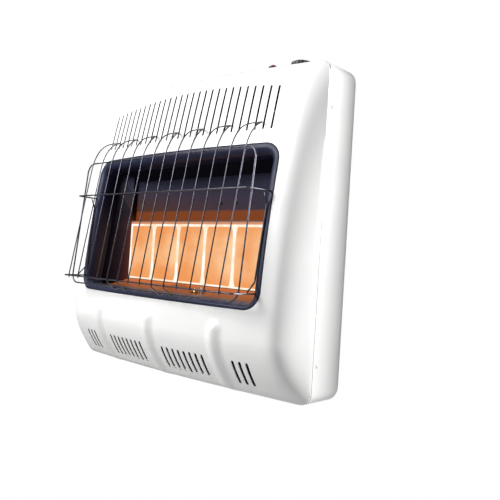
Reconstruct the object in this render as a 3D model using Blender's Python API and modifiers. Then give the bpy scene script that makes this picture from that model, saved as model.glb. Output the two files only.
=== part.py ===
"""Wall-hung infrared gas heater: arched white case, bowed front, five glowing ceramic plaques, wire guard.

The case's bottom centre at the wall is the datum that every place below is measured from: X runs across
the case, Y is minus the distance from the wall and Z is the height above the case's bottom. The datum
hangs under the wall bracket, whose back face carries the origin.
"""

import math

import bmesh
import bpy
from mathutils import Vector

# Cabinet sizes, in metres
width = 0.6985
overall_height = 0.64135
knob_rise = 0.00835
body_height = overall_height - knob_rise
overall_depth = 0.24765
casing_depth = 0.105
sheet = 0.0012
cover_sheet = 0.0015
fit_gap = 0.0004
arch_rise = 0.012
upper_corner_radius = 0.018
lower_corner_radius = 0.022
back_edge_radius = 0.028

# Front face: depth from the wall, leaning back towards the top and tucked in under the chin
chin_depth = 0.176
chin_height = 0.107
top_lean = 0.073
lean_power = 1.75
chin_tuck = 0.061
tuck_power = 1.6
front_bow = 0.031
side_round = 0.060
side_power = 3.5
top_round = 0.022
bottom_round = 0.014
edge_power = 2.3
rim_skirt = 0.003
least_rise = 0.004

# Raised flutes on the chin
flute_spacing = 0.186
flute_width = 0.044
flute_height = 0.0085
flute_top = 0.141
flute_nose = 0.018
flute_end = -0.040

# Window and its dark trim
window_side_margin = 0.06575
window_width = width - 2 * window_side_margin
window_bottom = 0.1635
window_head_room = 0.1605
window_top = body_height - window_head_room
window_radius = 0.036
trim_width = 0.022
trim_flange = 0.006
lip_depth_top = 0.110
lip_depth_bottom = 0.148

# Louvre slots above the window and on the chin
vent_count = 28
vent_pitch = 0.0188
vent_slot_width = 0.0045
vent_sill = 0.026
vent_head_room = 0.0325
vent_bottom = window_top + vent_sill
vent_top = body_height - vent_head_room
vent_arch = 0.017
chin_slot_width = 0.0065
chin_slot_pitch = 0.016
chin_slot_bottom = 0.0245
chin_slot_top = 0.0695
inner_group_start = 0.0367
inner_group_count = 8
outer_group_start = 0.2237
outer_group_count = 3

# Wire guard
guard_wire_radius = 0.0013
frame_wire_radius = 0.0016
loop_inset = 0.0150
loop_side_inset = 0.0165
loop_half_width = window_width / 2 - loop_side_inset
loop_corner_radius = 0.022
loop_depth_top = 0.1972
loop_depth_bottom = 0.224
bar_inset = 0.014
bar_half_width = window_width / 2 - bar_inset
bar_corner_radius = 0.007
upper_bar_drop = 0.0925
upper_bar_height = window_top - upper_bar_drop
upper_bar_depth = 0.2185
upper_bar_hole_inset = 0.0075
upper_bar_end = window_width / 2 - upper_bar_hole_inset
lower_bar_height = 0.1945
lower_bar_hole_inset = 0.0115
lower_bar_end = window_width / 2 - lower_bar_hole_inset
bar_entry = 0.012
hairpin_count = 7
leg_pitch = 0.0374
hairpin_rise = 0.0405
arc_drop = 0.0355
hairpin_top = window_top + hairpin_rise
arc_start = window_top - arc_drop
arc_reach = 0.065
leg_overhang = 0.004
tailed_hairpins = (3, 5)
tail_lead = 0.001
tail_drop = 0.0007
stay_offset = 0.003
stay_upper_depth = 0.1795
stay_kink_drop = 0.0225
stay_kink_rise = 0.0205
stay_upper_kink = upper_bar_height - stay_kink_drop
stay_lower_kink = lower_bar_height + stay_kink_rise
stay_lower_depth = 0.205

# Radiant burner
plaque_count = 5
plaque_pitch = 0.087
plaque_gap = 0.0006
plaque_bottom = 0.1945
plaque_height = 0.1285
plaque_thickness = 0.012
plaque_face = 0.0982
gasket_thickness = 0.0010
plenum_depth = 0.046
retainer_overlap = 0.0035
retainer_reach = 0.009
divider_waist = 0.0080
divider_flare = 0.0170
divider_flare_height = 0.018

# Firebox
wall_drop = 0.021
hood_drop = 0.044
wall_top = window_top - wall_drop
hood_back_height = window_top - hood_drop
firebox_back_depth = 0.087
firebox_hole_share = 0.39
firebox_hole_places = (0.076, 0.120)
firebox_hole_radius = 0.0028
lip_overlap = 0.006
reflector_tuck = 0.010

# Controls on top of the case
control_depth = 0.072
knob_side_margin = 0.09375
knob_place = width / 2 - knob_side_margin
knob_radius = 0.020
knob_travel = 0.0025
knob_skirt_gap = 0.0040
knob_ridges = 20
ridge_depth = 0.0009
hub_radius = 0.0070
hub_drop = 0.0115
hub_bottom = body_height - hub_drop
stem_radius = 0.0037
stem_flat = 0.0025
stem_rise = 0.0045
stem_top = body_height + stem_rise
boss_drop = 0.021
boss_top = body_height - boss_drop
boss_radius = 0.012
stem_depth_in_boss = 0.012
button_spacing = 0.0533
button_place = knob_place - button_spacing
button_depth = 0.094
button_radius = 0.0052
button_rise = 0.0075
button_top = body_height + button_rise
button_travel = 0.005
collar_radius = 0.0085
collar_rise = 0.0040
collar_top = body_height + collar_rise
igniter_body_radius = 0.0070
igniter_body_drop = 0.061
igniter_body_bottom = body_height - igniter_body_drop
button_drop = 0.0085
button_bottom = body_height - button_drop
igniter_bore_drop = 0.0275
igniter_bore_bottom = body_height - igniter_bore_drop
nut_radius = 0.0105
nut_height = 0.005

# Gas train beside the firebox
valve_size = (0.050, 0.044, 0.046)
valve_drop = 0.077
valve_bottom = body_height - valve_drop
mixing_tube_radius = 0.0140
mixing_tube_height = 0.160
mixing_tube_depth = 0.070
mixing_tube_mouth = 0.150
mixing_tube_rise = -0.020
mixing_tube_bend = 0.024
injector_gap = 0.006
injector_radius = 0.0065
injector_length = 0.026
injector_post_half = 0.016
injector_post_crown = 0.012
pipe_radius = 0.0040
small_pipe_radius = 0.0020
wire_radius = 0.0016
probe_radius = 0.0019
outlet_side_margin = 0.03325
outlet_riser = width / 2 - outlet_side_margin
outlet_drop = 0.030
outlet_step = 0.010
lead_side_margin = 0.07325
lead_riser = width / 2 - lead_side_margin
lead_depth = 0.100
lead_run = 0.076
lead_pitch = 0.010
regulator_side_margin = 0.04925
regulator_place = width / 2 - regulator_side_margin
regulator_depth = 0.058
regulator_height = 0.078
regulator_radius = 0.026
regulator_length = 0.034
regulator_strap = 0.012
regulator_strap_foot = 0.034
inlet_radius = 0.0095
inlet_bore = 0.0060
inlet_end = 0.0020
pilot_place = 0.046
pilot_depth = 0.120
pilot_base = 0.1655
pilot_radius = 0.0050
pilot_height = 0.022
pilot_opening_left = 0.010
pilot_opening_right = 0.024
pilot_opening_half = 0.009
shield_place = -0.014
shield_half_width = 0.030
shield_rise = 0.009
shield_depth = 0.112
shield_length = 0.012

# Wall bracket and fasteners
bracket_width = 0.380
bracket_band = 0.040
bracket_thickness = 0.0020
bracket_drop = 0.113
bracket_height = body_height - bracket_drop
hook_place = 0.140
hook_width = 0.026
hook_rise = 0.012
bracket_hole_places = (0.050, 0.170)
bracket_hole_radius = 0.0030
lower_screw_height = 0.071
upper_screw_drop = 0.095
cover_screw_heights = (lower_screw_height, body_height - upper_screw_drop)
cover_screw_depth = 0.093
screw_radius = 0.0020
screw_head_radius = 0.0040
screw_head_height = 0.0012
screw_length = 0.0090
tab_size = 0.018
intake_count = 5
intake_length = 0.070
intake_width = 0.010

half_width = width / 2
seam_gap = fit_gap
window_middle = (window_top + window_bottom) / 2
window_height = window_top - window_bottom
leg_front = overall_depth - guard_wire_radius
crossing = guard_wire_radius + frame_wire_radius + 0.0003
lower_bar_depth = leg_front - crossing
plaque_row = plaque_count * plaque_pitch / 2
plaque_top = plaque_bottom + plaque_height
plenum_inside = plaque_row + fit_gap
case_back = bracket_thickness + fit_gap
case_inside = case_back + sheet


def clear_scene():
    for thing in list(bpy.data.objects):
        bpy.data.objects.remove(thing, do_unlink=True)


clear_scene()
heater = bpy.data.collections.new("infrared_wall_heater")
cutters = bpy.data.collections.new("cutters")
bpy.context.scene.collection.children.link(heater)
bpy.context.scene.collection.children.link(cutters)

datum = bpy.data.objects.new("case_datum", None)
datum.location = (0, 0, -bracket_height)
heater.objects.link(datum)


# Materials
def material(name, colour, roughness, metallic=0.0, glow=0.0):
    made = bpy.data.materials.new(name)
    made.use_nodes = True
    shader = made.node_tree.nodes["Principled BSDF"]
    shader.inputs["Base Color"].default_value = (*colour, 1)
    shader.inputs["Roughness"].default_value = roughness
    shader.inputs["Metallic"].default_value = metallic
    if glow:
        shader.inputs["Emission Color"].default_value = (*colour, 1)
        shader.inputs["Emission Strength"].default_value = glow
    return made


white_enamel = material("white_enamel", (0.86, 0.86, 0.85), 0.25)
navy_enamel = material("navy_enamel", (0.018, 0.020, 0.045), 0.35)
black_wire = material("black_wire", (0.03, 0.03, 0.035), 0.4, 0.6)
grey_steel = material("grey_steel", (0.20, 0.21, 0.25), 0.45, 0.8)
zinc_steel = material("zinc_steel", (0.55, 0.56, 0.58), 0.35, 1.0)
hot_steel = material("hot_steel", (0.35, 0.20, 0.12), 0.4, 0.9)
hot_ceramic = material("hot_ceramic", (1.0, 0.38, 0.08), 0.8, 0.0, 1.5)
white_hot = material("white_hot", (1.0, 0.85, 0.62), 0.8, 0.0, 3.0)
gasket_fibre = material("gasket_fibre", (0.75, 0.74, 0.70), 0.9)
cast_aluminium = material("cast_aluminium", (0.60, 0.61, 0.62), 0.5, 0.9)
brass = material("brass", (0.75, 0.55, 0.22), 0.35, 1.0)
copper_tube = material("copper_tube", (0.72, 0.40, 0.26), 0.35, 1.0)
white_porcelain = material("white_porcelain", (0.85, 0.84, 0.80), 0.3)
dark_plastic = material("dark_plastic", (0.05, 0.05, 0.055), 0.45)
black_plastic = material("black_plastic", (0.012, 0.012, 0.013), 0.4)
red_plastic = material("red_plastic", (0.62, 0.03, 0.02), 0.3)
orange_sleeve = material("orange_sleeve", (0.70, 0.22, 0.05), 0.6)


# Modelling helpers
def add(name, mesh, finish, place=(0, 0, 0), smooth=True):
    if smooth:
        mesh.shade_smooth()
        mesh.set_sharp_from_angle(angle=math.radians(35))
    made = bpy.data.objects.new(name, mesh)
    made.location = place
    made.parent = datum
    mesh.materials.clear()
    mesh.materials.append(finish)
    heater.objects.link(made)
    return made


def mesh_from_faces(name, points, faces):
    mesh = bpy.data.meshes.new(name)
    mesh.from_pydata([tuple(p) for p in points], [], faces)
    mesh.update()
    return mesh


def mesh_from_bmesh(name, bm):
    bmesh.ops.recalc_face_normals(bm, faces=bm.faces)
    mesh = bpy.data.meshes.new(name)
    bm.to_mesh(mesh)
    bm.free()
    return mesh


def add_box_to(bm, low, high):
    made = bmesh.ops.create_cube(bm, size=1.0)["verts"]
    middle = [(a + b) / 2 for a, b in zip(low, high)]
    size = [b - a for a, b in zip(low, high)]
    bmesh.ops.scale(bm, vec=size, verts=made)
    bmesh.ops.translate(bm, vec=middle, verts=made)


def boxes(name, spans):
    """Box spans (low corner, high corner), each a body of its own."""
    bm = bmesh.new()
    for low, high in spans:
        add_box_to(bm, low, high)
    return mesh_from_bmesh(name, bm)


def rods(name, places, radius, length, axis, sides=16):
    """Plain cylinders of one size, centred on the places and lying along the axis."""
    bm = bmesh.new()
    turn = Vector((0, 0, 1)).rotation_difference(Vector(axis)).to_matrix()
    for place in places:
        made = bmesh.ops.create_cone(
            bm, cap_ends=True, segments=sides, radius1=radius, radius2=radius, depth=length)["verts"]
        bmesh.ops.rotate(bm, cent=(0, 0, 0), matrix=turn, verts=made)
        bmesh.ops.translate(bm, vec=place, verts=made)
    return mesh_from_bmesh(name, bm)


def flat_piece(name, outline, thickness, axis):
    """A closed outline of points, thickened along the axis from where its points lie."""
    bm = bmesh.new()
    face = bm.faces.new([bm.verts.new(p) for p in outline])
    grown = bmesh.ops.extrude_face_region(bm, geom=[face])["geom"]
    moved = [g for g in grown if isinstance(g, bmesh.types.BMVert)]
    bmesh.ops.translate(bm, vec=Vector(axis) * thickness, verts=moved)
    return mesh_from_bmesh(name, bm)


def folded_sheet(name, lines, thickness, finish):
    """A bent sheet: neighbouring lines of points joined by faces, thickened away from its visible side.

    The visible side is the one that a line's direction turned towards the next line faces.
    """
    count = len(lines[0])
    points = [p for line in lines for p in line]
    faces = []
    for i in range(len(lines) - 1):
        for j in range(count - 1):
            a = i * count + j
            faces.append((a, a + 1, a + count + 1, a + count))
    made = add(name, mesh_from_faces(name, points, faces), finish)
    thicken(made, thickness)
    return made


def thicken(thing, thickness):
    grow = thing.modifiers.new("thickness", "SOLIDIFY")
    grow.thickness = thickness
    grow.offset = -1
    grow.use_even_offset = True
    return grow


def soften(thing, size, segments=2):
    edge = thing.modifiers.new("rounded edges", "BEVEL")
    edge.width = size
    edge.segments = segments
    edge.limit_method = "ANGLE"
    edge.angle_limit = math.radians(40)
    return edge


def cut(thing, mesh, place=(0, 0, 0)):
    """Takes the cutter's shape away from the piece."""
    tool = bpy.data.objects.new(mesh.name, mesh)
    tool.parent = datum
    tool.location = place
    tool.display_type = "WIRE"
    tool.hide_render = True
    cutters.objects.link(tool)
    take = thing.modifiers.new(mesh.name, "BOOLEAN")
    take.operation = "DIFFERENCE"
    take.solver = "EXACT"
    take.object = tool


def join(thing, mesh):
    """Adds the mesh's shape to the piece."""
    tool = bpy.data.objects.new(mesh.name, mesh)
    tool.parent = datum
    tool.display_type = "WIRE"
    tool.hide_render = True
    cutters.objects.link(tool)
    union = thing.modifiers.new(mesh.name, "BOOLEAN")
    union.operation = "UNION"
    union.solver = "EXACT"
    union.object = tool


def wire(name, runs, radius, finish, closed=False, resolution=1):
    """Round wire or pipe bent along each run of points."""
    curve = bpy.data.curves.new(name, "CURVE")
    curve.dimensions = "3D"
    curve.bevel_depth = radius
    curve.bevel_resolution = resolution
    curve.use_fill_caps = not closed
    for run in runs:
        spline = curve.splines.new("POLY")
        spline.points.add(len(run) - 1)
        for point, place in zip(spline.points, run):
            point.co = (*place, 1)
        spline.use_cyclic_u = closed
    curve.materials.append(finish)
    made = bpy.data.objects.new(name, curve)
    made.parent = datum
    heater.objects.link(made)
    return made


def turned(name, profile, place, finish, sides=24, rotation=(0, 0, 0)):
    """A turned piece: (radius, height) points, listed up its outer side, swept about the local Z axis."""
    ring = [(r, 0, z) for r, z in reversed(profile)]
    hollow = min(r for r, z in profile) > 0
    mesh = bpy.data.meshes.new(name)
    edges = [(i, i + 1) for i in range(len(ring) - 1)]
    if hollow:
        edges.append((len(ring) - 1, 0))
    mesh.from_pydata(ring, edges, [])
    made = add(name, mesh, finish, place, smooth=False)
    made.rotation_euler = rotation
    sweep = made.modifiers.new("turning", "SCREW")
    sweep.axis = "Z"
    sweep.steps = sides
    sweep.render_steps = sides
    sweep.use_merge_vertices = True
    sweep.merge_threshold = 0.00001
    sweep.use_smooth_shade = True
    return made


def rounded(corners, radius, segments=3):
    """The points of a path with each inner corner turned into a short arc of the given radius."""
    path = [Vector(c) for c in corners]
    out = [path[0]]
    for before, here, after in zip(path, path[1:], path[2:]):
        back = (before - here).normalized()
        on = (after - here).normalized()
        half = back.angle(on) / 2
        reach = min(radius / math.tan(half), (before - here).length * 0.49, (after - here).length * 0.49)
        bend = reach * math.tan(half)
        middle = here + (back + on).normalized() * (bend / math.sin(half))
        first = here + back * reach - middle
        last = here + on * reach - middle
        for k in range(segments + 1):
            out.append(middle + first.slerp(last, k / segments) * bend)
    out.append(path[-1])
    return out


# Shape of the case
def falloff(share):
    """1 on the open face, falling to 0 at the rim along a rounded edge."""
    share = min(max(share, 0.0), 1.0)
    return (1 - share ** edge_power) ** (1 / edge_power)


def top_edge(x):
    """Height of the case's arched top at a place across it, with the rounded upper corners."""
    height = body_height - arch_rise * (x / half_width) ** 2
    past = max(abs(x) - (half_width - upper_corner_radius), 0.0)
    return height - upper_corner_radius + math.sqrt(max(upper_corner_radius ** 2 - past ** 2, 0.0))


def bottom_edge(x):
    """Height of the case's bottom, straight with rounded lower corners."""
    past = max(abs(x) - (half_width - lower_corner_radius), 0.0)
    return lower_corner_radius - math.sqrt(max(lower_corner_radius ** 2 - past ** 2, 0.0))


def flute(x, z):
    """Rise of the chin's three flutes: a ridge with a rounded nose at its top, lower towards its foot."""
    nearest = min((abs(x - place) for place in (-flute_spacing, 0, flute_spacing)))
    if nearest >= flute_width / 2 or z >= flute_top:
        return 0.0
    across = math.cos(math.pi * nearest / flute_width) ** 2
    rise = min((flute_top - z) / flute_nose, 1.0)
    fade = min(max((z - flute_end) / (chin_height - flute_end), 0.0), 1.0)
    return flute_height * across * math.sqrt(1 - (1 - rise) ** 2) * math.sin(fade * math.pi / 2)


def face_depth(x, z):
    """Distance from the wall to the plain front face: bowed across, leaning back above the chin."""
    above = max(z - chin_height, 0.0) / (body_height - chin_height)
    below = max(chin_height - z, 0.0) / chin_height
    bow = front_bow * (1 - (x / half_width) ** 2)
    plain = chin_depth - top_lean * above ** lean_power - chin_tuck * below ** tuck_power + bow
    floor = casing_depth + seam_gap + rim_skirt + least_rise
    over = plain - floor
    return floor + (over + math.sqrt(over ** 2 + (2 * least_rise) ** 2)) / 2


def cover_depth(x, z):
    """Distance from the wall to the cover's outer surface; its sides slope, its other edges are rounded."""
    side = 1 - max((abs(x) - half_width + side_round) / side_round, 0.0) ** side_power
    upper = falloff((z - top_edge(x) + top_round) / top_round)
    lower = falloff((bottom_edge(x) + bottom_round - z) / bottom_round)
    rim = casing_depth + seam_gap + rim_skirt
    return rim + (face_depth(x, z) + flute(x, z) - rim) * side * upper * lower


def edge_shares(steps):
    """Shares of a rounded edge's width, closer together where it turns fastest."""
    return [math.sin(math.pi / 2 * k / steps) ** (2 / edge_power) for k in range(1, steps + 1)]


def across_places():
    """Places across the case for the cover's columns: flutes, plain face and rounded sides."""
    places = {0.0}
    for middle in (0.0, flute_spacing):
        for part in (0.25, 0.5):
            places.update((middle - flute_width * part, middle + flute_width * part))
        places.add(middle)
    plain_edge = half_width - side_round
    places.update((flute_spacing * 0.38, flute_spacing * 0.66))
    places.update(((flute_spacing + plain_edge) / 2 + flute_width * 0.12, plain_edge))
    places.update(plain_edge + side_round * share for share in (0.3, 0.55, 0.75, 0.9, 1.0))
    right = sorted(p for p in places if p > 0)
    return [-p for p in reversed(right)] + [0.0] + right


def height_shares():
    """Heights for the cover's rows, each as (from the bottom edge, from the top edge) parts."""
    low = [0.0] + [bottom_round * (1 - s) for s in reversed(edge_shares(4)[:-1])] + [bottom_round]
    high = [top_round] + [top_round * (1 - s) for s in edge_shares(4)[:-1]] + [0.0]
    flat = [chin_height * share for share in (0.34, 0.56, 0.78, 1.0)]
    flat += [flute_top - flute_nose * share for share in (1.0, 0.45, 0.12, 0.0)]
    flat += [window_bottom - trim_flange]
    flat += [window_bottom + window_height * share for share in (0.22, 0.47, 0.73)]
    flat += [window_top + trim_flange]
    flat += [vent_bottom + (vent_top - vent_bottom) * share for share in (0.45, 0.9)]
    return low, flat, high


def build_front_cover():
    low, flat, high = height_shares()
    columns = across_places()
    points = []
    for x in columns:
        floor, ceiling = bottom_edge(x), top_edge(x)
        squeeze = (ceiling - floor - bottom_round - top_round) / (body_height - bottom_round - top_round)
        heights = [floor + h for h in low]
        heights += [floor + bottom_round + (h - bottom_round) * squeeze for h in flat]
        heights += [ceiling - h for h in high]
        points.extend((x, -cover_depth(x, z), z) for z in heights)
    rows = len(low) + len(flat) + len(high)
    faces = []
    for i in range(len(columns) - 1):
        for j in range(rows - 1):
            a = i * rows + j
            faces.append((a, a + rows, a + rows + 1, a + 1))
    mesh = mesh_from_faces("front_cover", points, faces)
    bm = bmesh.new()
    bm.from_mesh(mesh)
    rim = bmesh.ops.extrude_edge_only(bm, edges=[e for e in bm.edges if e.is_boundary])["geom"]
    moved = [g for g in rim if isinstance(g, bmesh.types.BMVert)]
    bmesh.ops.translate(bm, vec=(0, rim_skirt, 0), verts=moved)
    bmesh.ops.recalc_face_normals(bm, faces=bm.faces)
    bm.faces.ensure_lookup_table()
    middle = min(bm.faces, key=lambda f: f.calc_center_median().y)
    if middle.normal.y > 0:
        bmesh.ops.reverse_faces(bm, faces=bm.faces)
    bm.to_mesh(mesh)
    bm.free()
    cover = add("front_cover", mesh, white_enamel)
    thicken(cover, cover_sheet)
    join(cover, cover_tabs())
    cut(cover, rods("tab_holes", cover_screw_places(), screw_radius + fit_gap, 0.02, (1, 0, 0), 12))
    cut(cover, window_cutter())
    cut(cover, slot_cutters("vent_cutter", vent_slots(), vent_slot_width))
    cut(cover, slot_cutters("chin_slot_cutter", chin_slots(), chin_slot_width))
    return cover


def window_outline(inset, corner_steps, side_steps, top_steps):
    """Points (x, z) around the window, moved inwards by the inset, anticlockwise from the lower right."""
    half = window_width / 2 - inset
    low, high = window_bottom + inset, window_top - inset
    radius = max(window_radius - inset, 0.004)
    arcs = ((half - radius, low + radius, -90), (half - radius, high - radius, 0),
            (radius - half, high - radius, 90), (radius - half, low + radius, 180))
    corners = []
    for middle_x, middle_z, start in arcs:
        for k in range(corner_steps + 1):
            angle = math.radians(start + 90 * k / corner_steps)
            corners.append((middle_x + radius * math.cos(angle), middle_z + radius * math.sin(angle)))
    out = []
    for i, point in enumerate(corners):
        out.append(point)
        if (i + 1) % (corner_steps + 1) == 0:
            onward = corners[(i + 1) % len(corners)]
            steps = top_steps if abs(onward[0] - point[0]) > abs(onward[1] - point[1]) else side_steps
            for k in range(1, steps):
                share = k / steps
                out.append(tuple(a + (b - a) * share for a, b in zip(point, onward)))
    return out


def window_cutter():
    outline = [(x, -casing_depth - fit_gap * 4, z) for x, z in window_outline(0.0, 5, 1, 1)]
    return flat_piece("window_cutter", outline, overall_depth, (0, -1, 0))


def slot_cutters(name, slots, slot_width):
    """Upright slots with rounded ends, each (place across, lower end, upper end)."""
    bm = bmesh.new()
    radius = slot_width / 2
    for x, low, high in slots:
        outline = []
        for middle_z, start in ((high - radius, 0), (low + radius, 180)):
            for k in range(4):
                angle = math.radians(start + 180 * k / 3)
                outline.append((x + radius * math.cos(angle), -casing_depth, middle_z + radius * math.sin(angle)))
        face = bm.faces.new([bm.verts.new(p) for p in outline])
        grown = bmesh.ops.extrude_face_region(bm, geom=[face])["geom"]
        moved = [g for g in grown if isinstance(g, bmesh.types.BMVert)]
        bmesh.ops.translate(bm, vec=(0, -overall_depth, 0), verts=moved)
    return mesh_from_bmesh(name, bm)


def vent_slots():
    """Twin-ended row above the window: lower ends level, upper ends on an arch."""
    places = [(i - (vent_count - 1) / 2) * vent_pitch for i in range(vent_count)]
    reach = places[-1]
    return [(x, vent_bottom, vent_top - vent_arch * (x / reach) ** 2) for x in places]


def chin_slots():
    """Four groups on the chin, mirrored about the middle flute."""
    places = [inner_group_start + k * chin_slot_pitch for k in range(inner_group_count)]
    places += [outer_group_start + k * chin_slot_pitch for k in range(outer_group_count)]
    return [(side * x, chin_slot_bottom, chin_slot_top) for side in (-1, 1) for x in places]


# Rear casing
def casing_outline(corner_steps, arch_steps):
    """Points (x, z) around the case, anticlockwise from the lower left corner."""
    half = half_width
    points = []
    for k in range(corner_steps + 1):
        x = -half + lower_corner_radius * (1 - math.cos(math.pi / 2 * k / corner_steps))
        points.append((x, bottom_edge(x)))
    points += [(-x, z) for x, z in reversed(points)]
    top = []
    for k in range(corner_steps + 1):
        x = half - upper_corner_radius * (1 - math.cos(math.pi / 2 * k / corner_steps))
        top.append((x, top_edge(x)))
    inner = half - upper_corner_radius
    top += [(x, top_edge(x)) for x in (inner * (1 - 2 * k / arch_steps) for k in range(1, arch_steps))]
    top += [(-x, z) for x, z in reversed(top[:corner_steps + 1])]
    return points + top


def build_rear_casing():
    outline = casing_outline(4, 8)
    middle = body_height / 2
    rings = [(casing_depth, 0.0), (case_back + back_edge_radius, 0.0)]
    for k in range(1, 5):
        angle = math.pi / 2 * k / 4
        inset = back_edge_radius * (1 - math.cos(angle))
        rings.append((case_back + back_edge_radius * (1 - math.sin(angle)), inset))
    points = []
    for depth, inset in rings:
        shrink_x = (half_width - inset) / half_width
        shrink_z = (middle - inset) / middle
        points += [(x * shrink_x, -depth, middle + (z - middle) * shrink_z) for x, z in outline]
    count = len(outline)
    faces = []
    for r in range(len(rings) - 1):
        for i in range(count):
            a, b = r * count + i, r * count + (i + 1) % count
            faces.append((a, a + count, b + count, b))
    faces.append(tuple((len(rings) - 1) * count + i for i in reversed(range(count))))
    casing = add("rear_casing", mesh_from_faces("rear_casing", points, faces), white_enamel)
    mesh = casing.data
    bm = bmesh.new()
    bm.from_mesh(mesh)
    bmesh.ops.recalc_face_normals(bm, faces=bm.faces)
    bm.to_mesh(mesh)
    bm.free()
    thicken(casing, sheet)
    cut(casing, rods("stem_hole", [(knob_place, -control_depth, body_height)],
                     hub_radius + 0.0015, 0.06, (0, 0, 1), 20))
    cut(casing, rods("igniter_hole", [(button_place, -button_depth, body_height)],
                     igniter_body_radius + fit_gap, 0.06, (0, 0, 1), 20))
    cut(casing, rods("inlet_hole", [(regulator_place, -regulator_depth, 0)],
                     inlet_radius + 0.003, 0.02, (0, 0, 1), 20))
    cut(casing, rods("cover_screw_holes", cover_screw_places(), screw_radius + fit_gap, 0.02, (1, 0, 0), 12))
    cut(casing, hook_slots())
    cut(casing, intake_slots())
    return casing


def cover_screw_places():
    return [(side * half_width, -cover_screw_depth, z) for side in (-1, 1) for z in cover_screw_heights]


def hook_slots():
    """Openings in the back that the bracket's hooks reach through; the case hangs on their upper edges."""
    low, high = hook_stub_heights()
    spans = []
    for side in (-1, 1):
        left = side * hook_place - hook_width / 2 - 0.002
        spans.append(((left, -case_back - 0.01, low - hook_rise - fit_gap),
                      (left + hook_width + 0.004, 0.01, high + fit_gap)))
    return boxes("hook_slots", spans)


def hook_stub_heights():
    return bracket_height - bracket_thickness, bracket_height


def intake_slots():
    """Air openings in the case's bottom, in a row under the burner."""
    pitch = intake_length * 1.25
    first = -pitch * (intake_count - 1) / 2 - flute_width
    spans = []
    for k in range(intake_count):
        middle = first + k * pitch
        spans.append(((middle - intake_length / 2, -casing_depth * 0.72, -0.01),
                      (middle + intake_length / 2, -casing_depth * 0.72 + intake_width, 0.01)))
    return boxes("intake_slots", spans)


def cover_tabs():
    """Tabs that step in from the cover's straight rim and run back inside the casing's sides."""
    outside = half_width - sheet - fit_gap
    inside = outside - cover_sheet
    step = casing_depth + seam_gap * 2
    front = casing_depth + seam_gap + rim_skirt
    back = cover_screw_depth - tab_size / 2
    bm = bmesh.new()
    for side in (-1, 1):
        for z in cover_screw_heights:
            outline = [(outside, back), (outside, step), (half_width - cover_sheet / 2, step),
                       (half_width - cover_sheet / 2, front), (inside, front), (inside, back)]
            low = z - tab_size / 2
            face = bm.faces.new([bm.verts.new((side * x, -depth, low)) for x, depth in outline])
            grown = bmesh.ops.extrude_face_region(bm, geom=[face])["geom"]
            moved = [g for g in grown if isinstance(g, bmesh.types.BMVert)]
            bmesh.ops.translate(bm, vec=(0, 0, tab_size), verts=moved)
    return mesh_from_bmesh("cover_tabs", bm)


def build_cover_screws():
    """Round-headed screws through the casing's sides into the cover's tabs."""
    profile = [(0, -screw_length), (screw_radius, -screw_length), (screw_radius, fit_gap),
               (screw_head_radius, fit_gap), (screw_head_radius * 0.8, fit_gap + screw_head_height),
               (0, fit_gap + screw_head_height)]
    for number, place in enumerate(cover_screw_places(), 1):
        side = 1 if place[0] > 0 else -1
        turned(f"cover_screw_{number}", profile, place, zinc_steel, 12, (0, side * math.pi / 2, 0))


# Wall bracket
def build_wall_bracket():
    """Flat band on the wall with two hooks that reach through the casing and turn up behind it."""
    low, high = hook_stub_heights()
    half = bracket_width / 2
    band = bracket_band / 2
    reach = case_inside + fit_gap + bracket_thickness
    bm = bmesh.new()
    add_box_to(bm, (-half, -bracket_thickness, bracket_height - band), (half, 0, bracket_height + band))
    bracket = add("wall_bracket", mesh_from_bmesh("wall_bracket", bm), zinc_steel, smooth=False)
    for side in (-1, 1):
        left, right = side * hook_place - hook_width / 2, side * hook_place + hook_width / 2
        profile = [(-bracket_thickness / 2, low), (-bracket_thickness / 2, high), (-reach + bracket_thickness, high),
                   (-reach + bracket_thickness, high + hook_rise), (-reach, high + hook_rise), (-reach, low)]
        hook = flat_piece("hook", [(left, y, z) for y, z in profile], right - left, (1, 0, 0))
        join(bracket, hook)
    places = [(side * x, 0, bracket_height) for side in (-1, 1) for x in bracket_hole_places]
    cut(bracket, rods("bracket_holes", places, bracket_hole_radius, 0.02, (0, 1, 0), 12))
    return bracket


# Window trim
def lip_depth(z):
    """Depth of the flat plane that the trim's inner lip ends on."""
    share = (z - window_bottom - trim_width) / (window_height - 2 * trim_width)
    return lip_depth_bottom + (lip_depth_top - lip_depth_bottom) * share


def trim_section():
    """(Inset from the window's edge, depth behind the face) along the trim, from flange to lip."""
    flush = cover_sheet + fit_gap * 1.5
    return [(-trim_flange, flush), (fit_gap * 3, flush), (fit_gap * 6, 0.0), (trim_width * 0.35, 0.0),
            (trim_width * 0.68, 0.0022), (trim_width * 0.9, 0.0075), (trim_width, 0.0150)]


def build_window_trim():
    steps = (5, 4, 8)
    rings = []
    for inset, back in trim_section():
        ring = window_outline(inset, *steps)
        rings.append([(x, -face_depth(x, z) + back, z) for x, z in ring])
    rings.append([(x, -lip_depth(z), z) for x, z in window_outline(trim_width, *steps)])
    count = len(rings[0])
    points = [p for ring in rings for p in ring]
    faces = []
    for r in range(len(rings) - 1):
        for i in range(count):
            a, b = r * count + i, r * count + (i + 1) % count
            faces.append((a, b, b + count, a + count))
    trim = add("window_trim", mesh_from_faces("window_trim", points, faces), navy_enamel)
    thicken(trim, sheet)
    places = []
    for side in (-1, 1):
        for x, z in ((upper_bar_end, upper_bar_height), (lower_bar_end, lower_bar_height)):
            places.append((side * x, -face_depth(x, z), z))
    cut(trim, rods("guard_holes", places, frame_wire_radius + fit_gap, 0.03, (0, 1, 0), 12))
    return trim


# Guard
def loop_plane(z):
    """Depth of the guard's outer loop, which leans back like the face."""
    low, high = window_bottom + loop_inset, window_top - loop_inset
    return loop_depth_bottom + (loop_depth_top - loop_depth_bottom) * (z - low) / (high - low)


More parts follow.
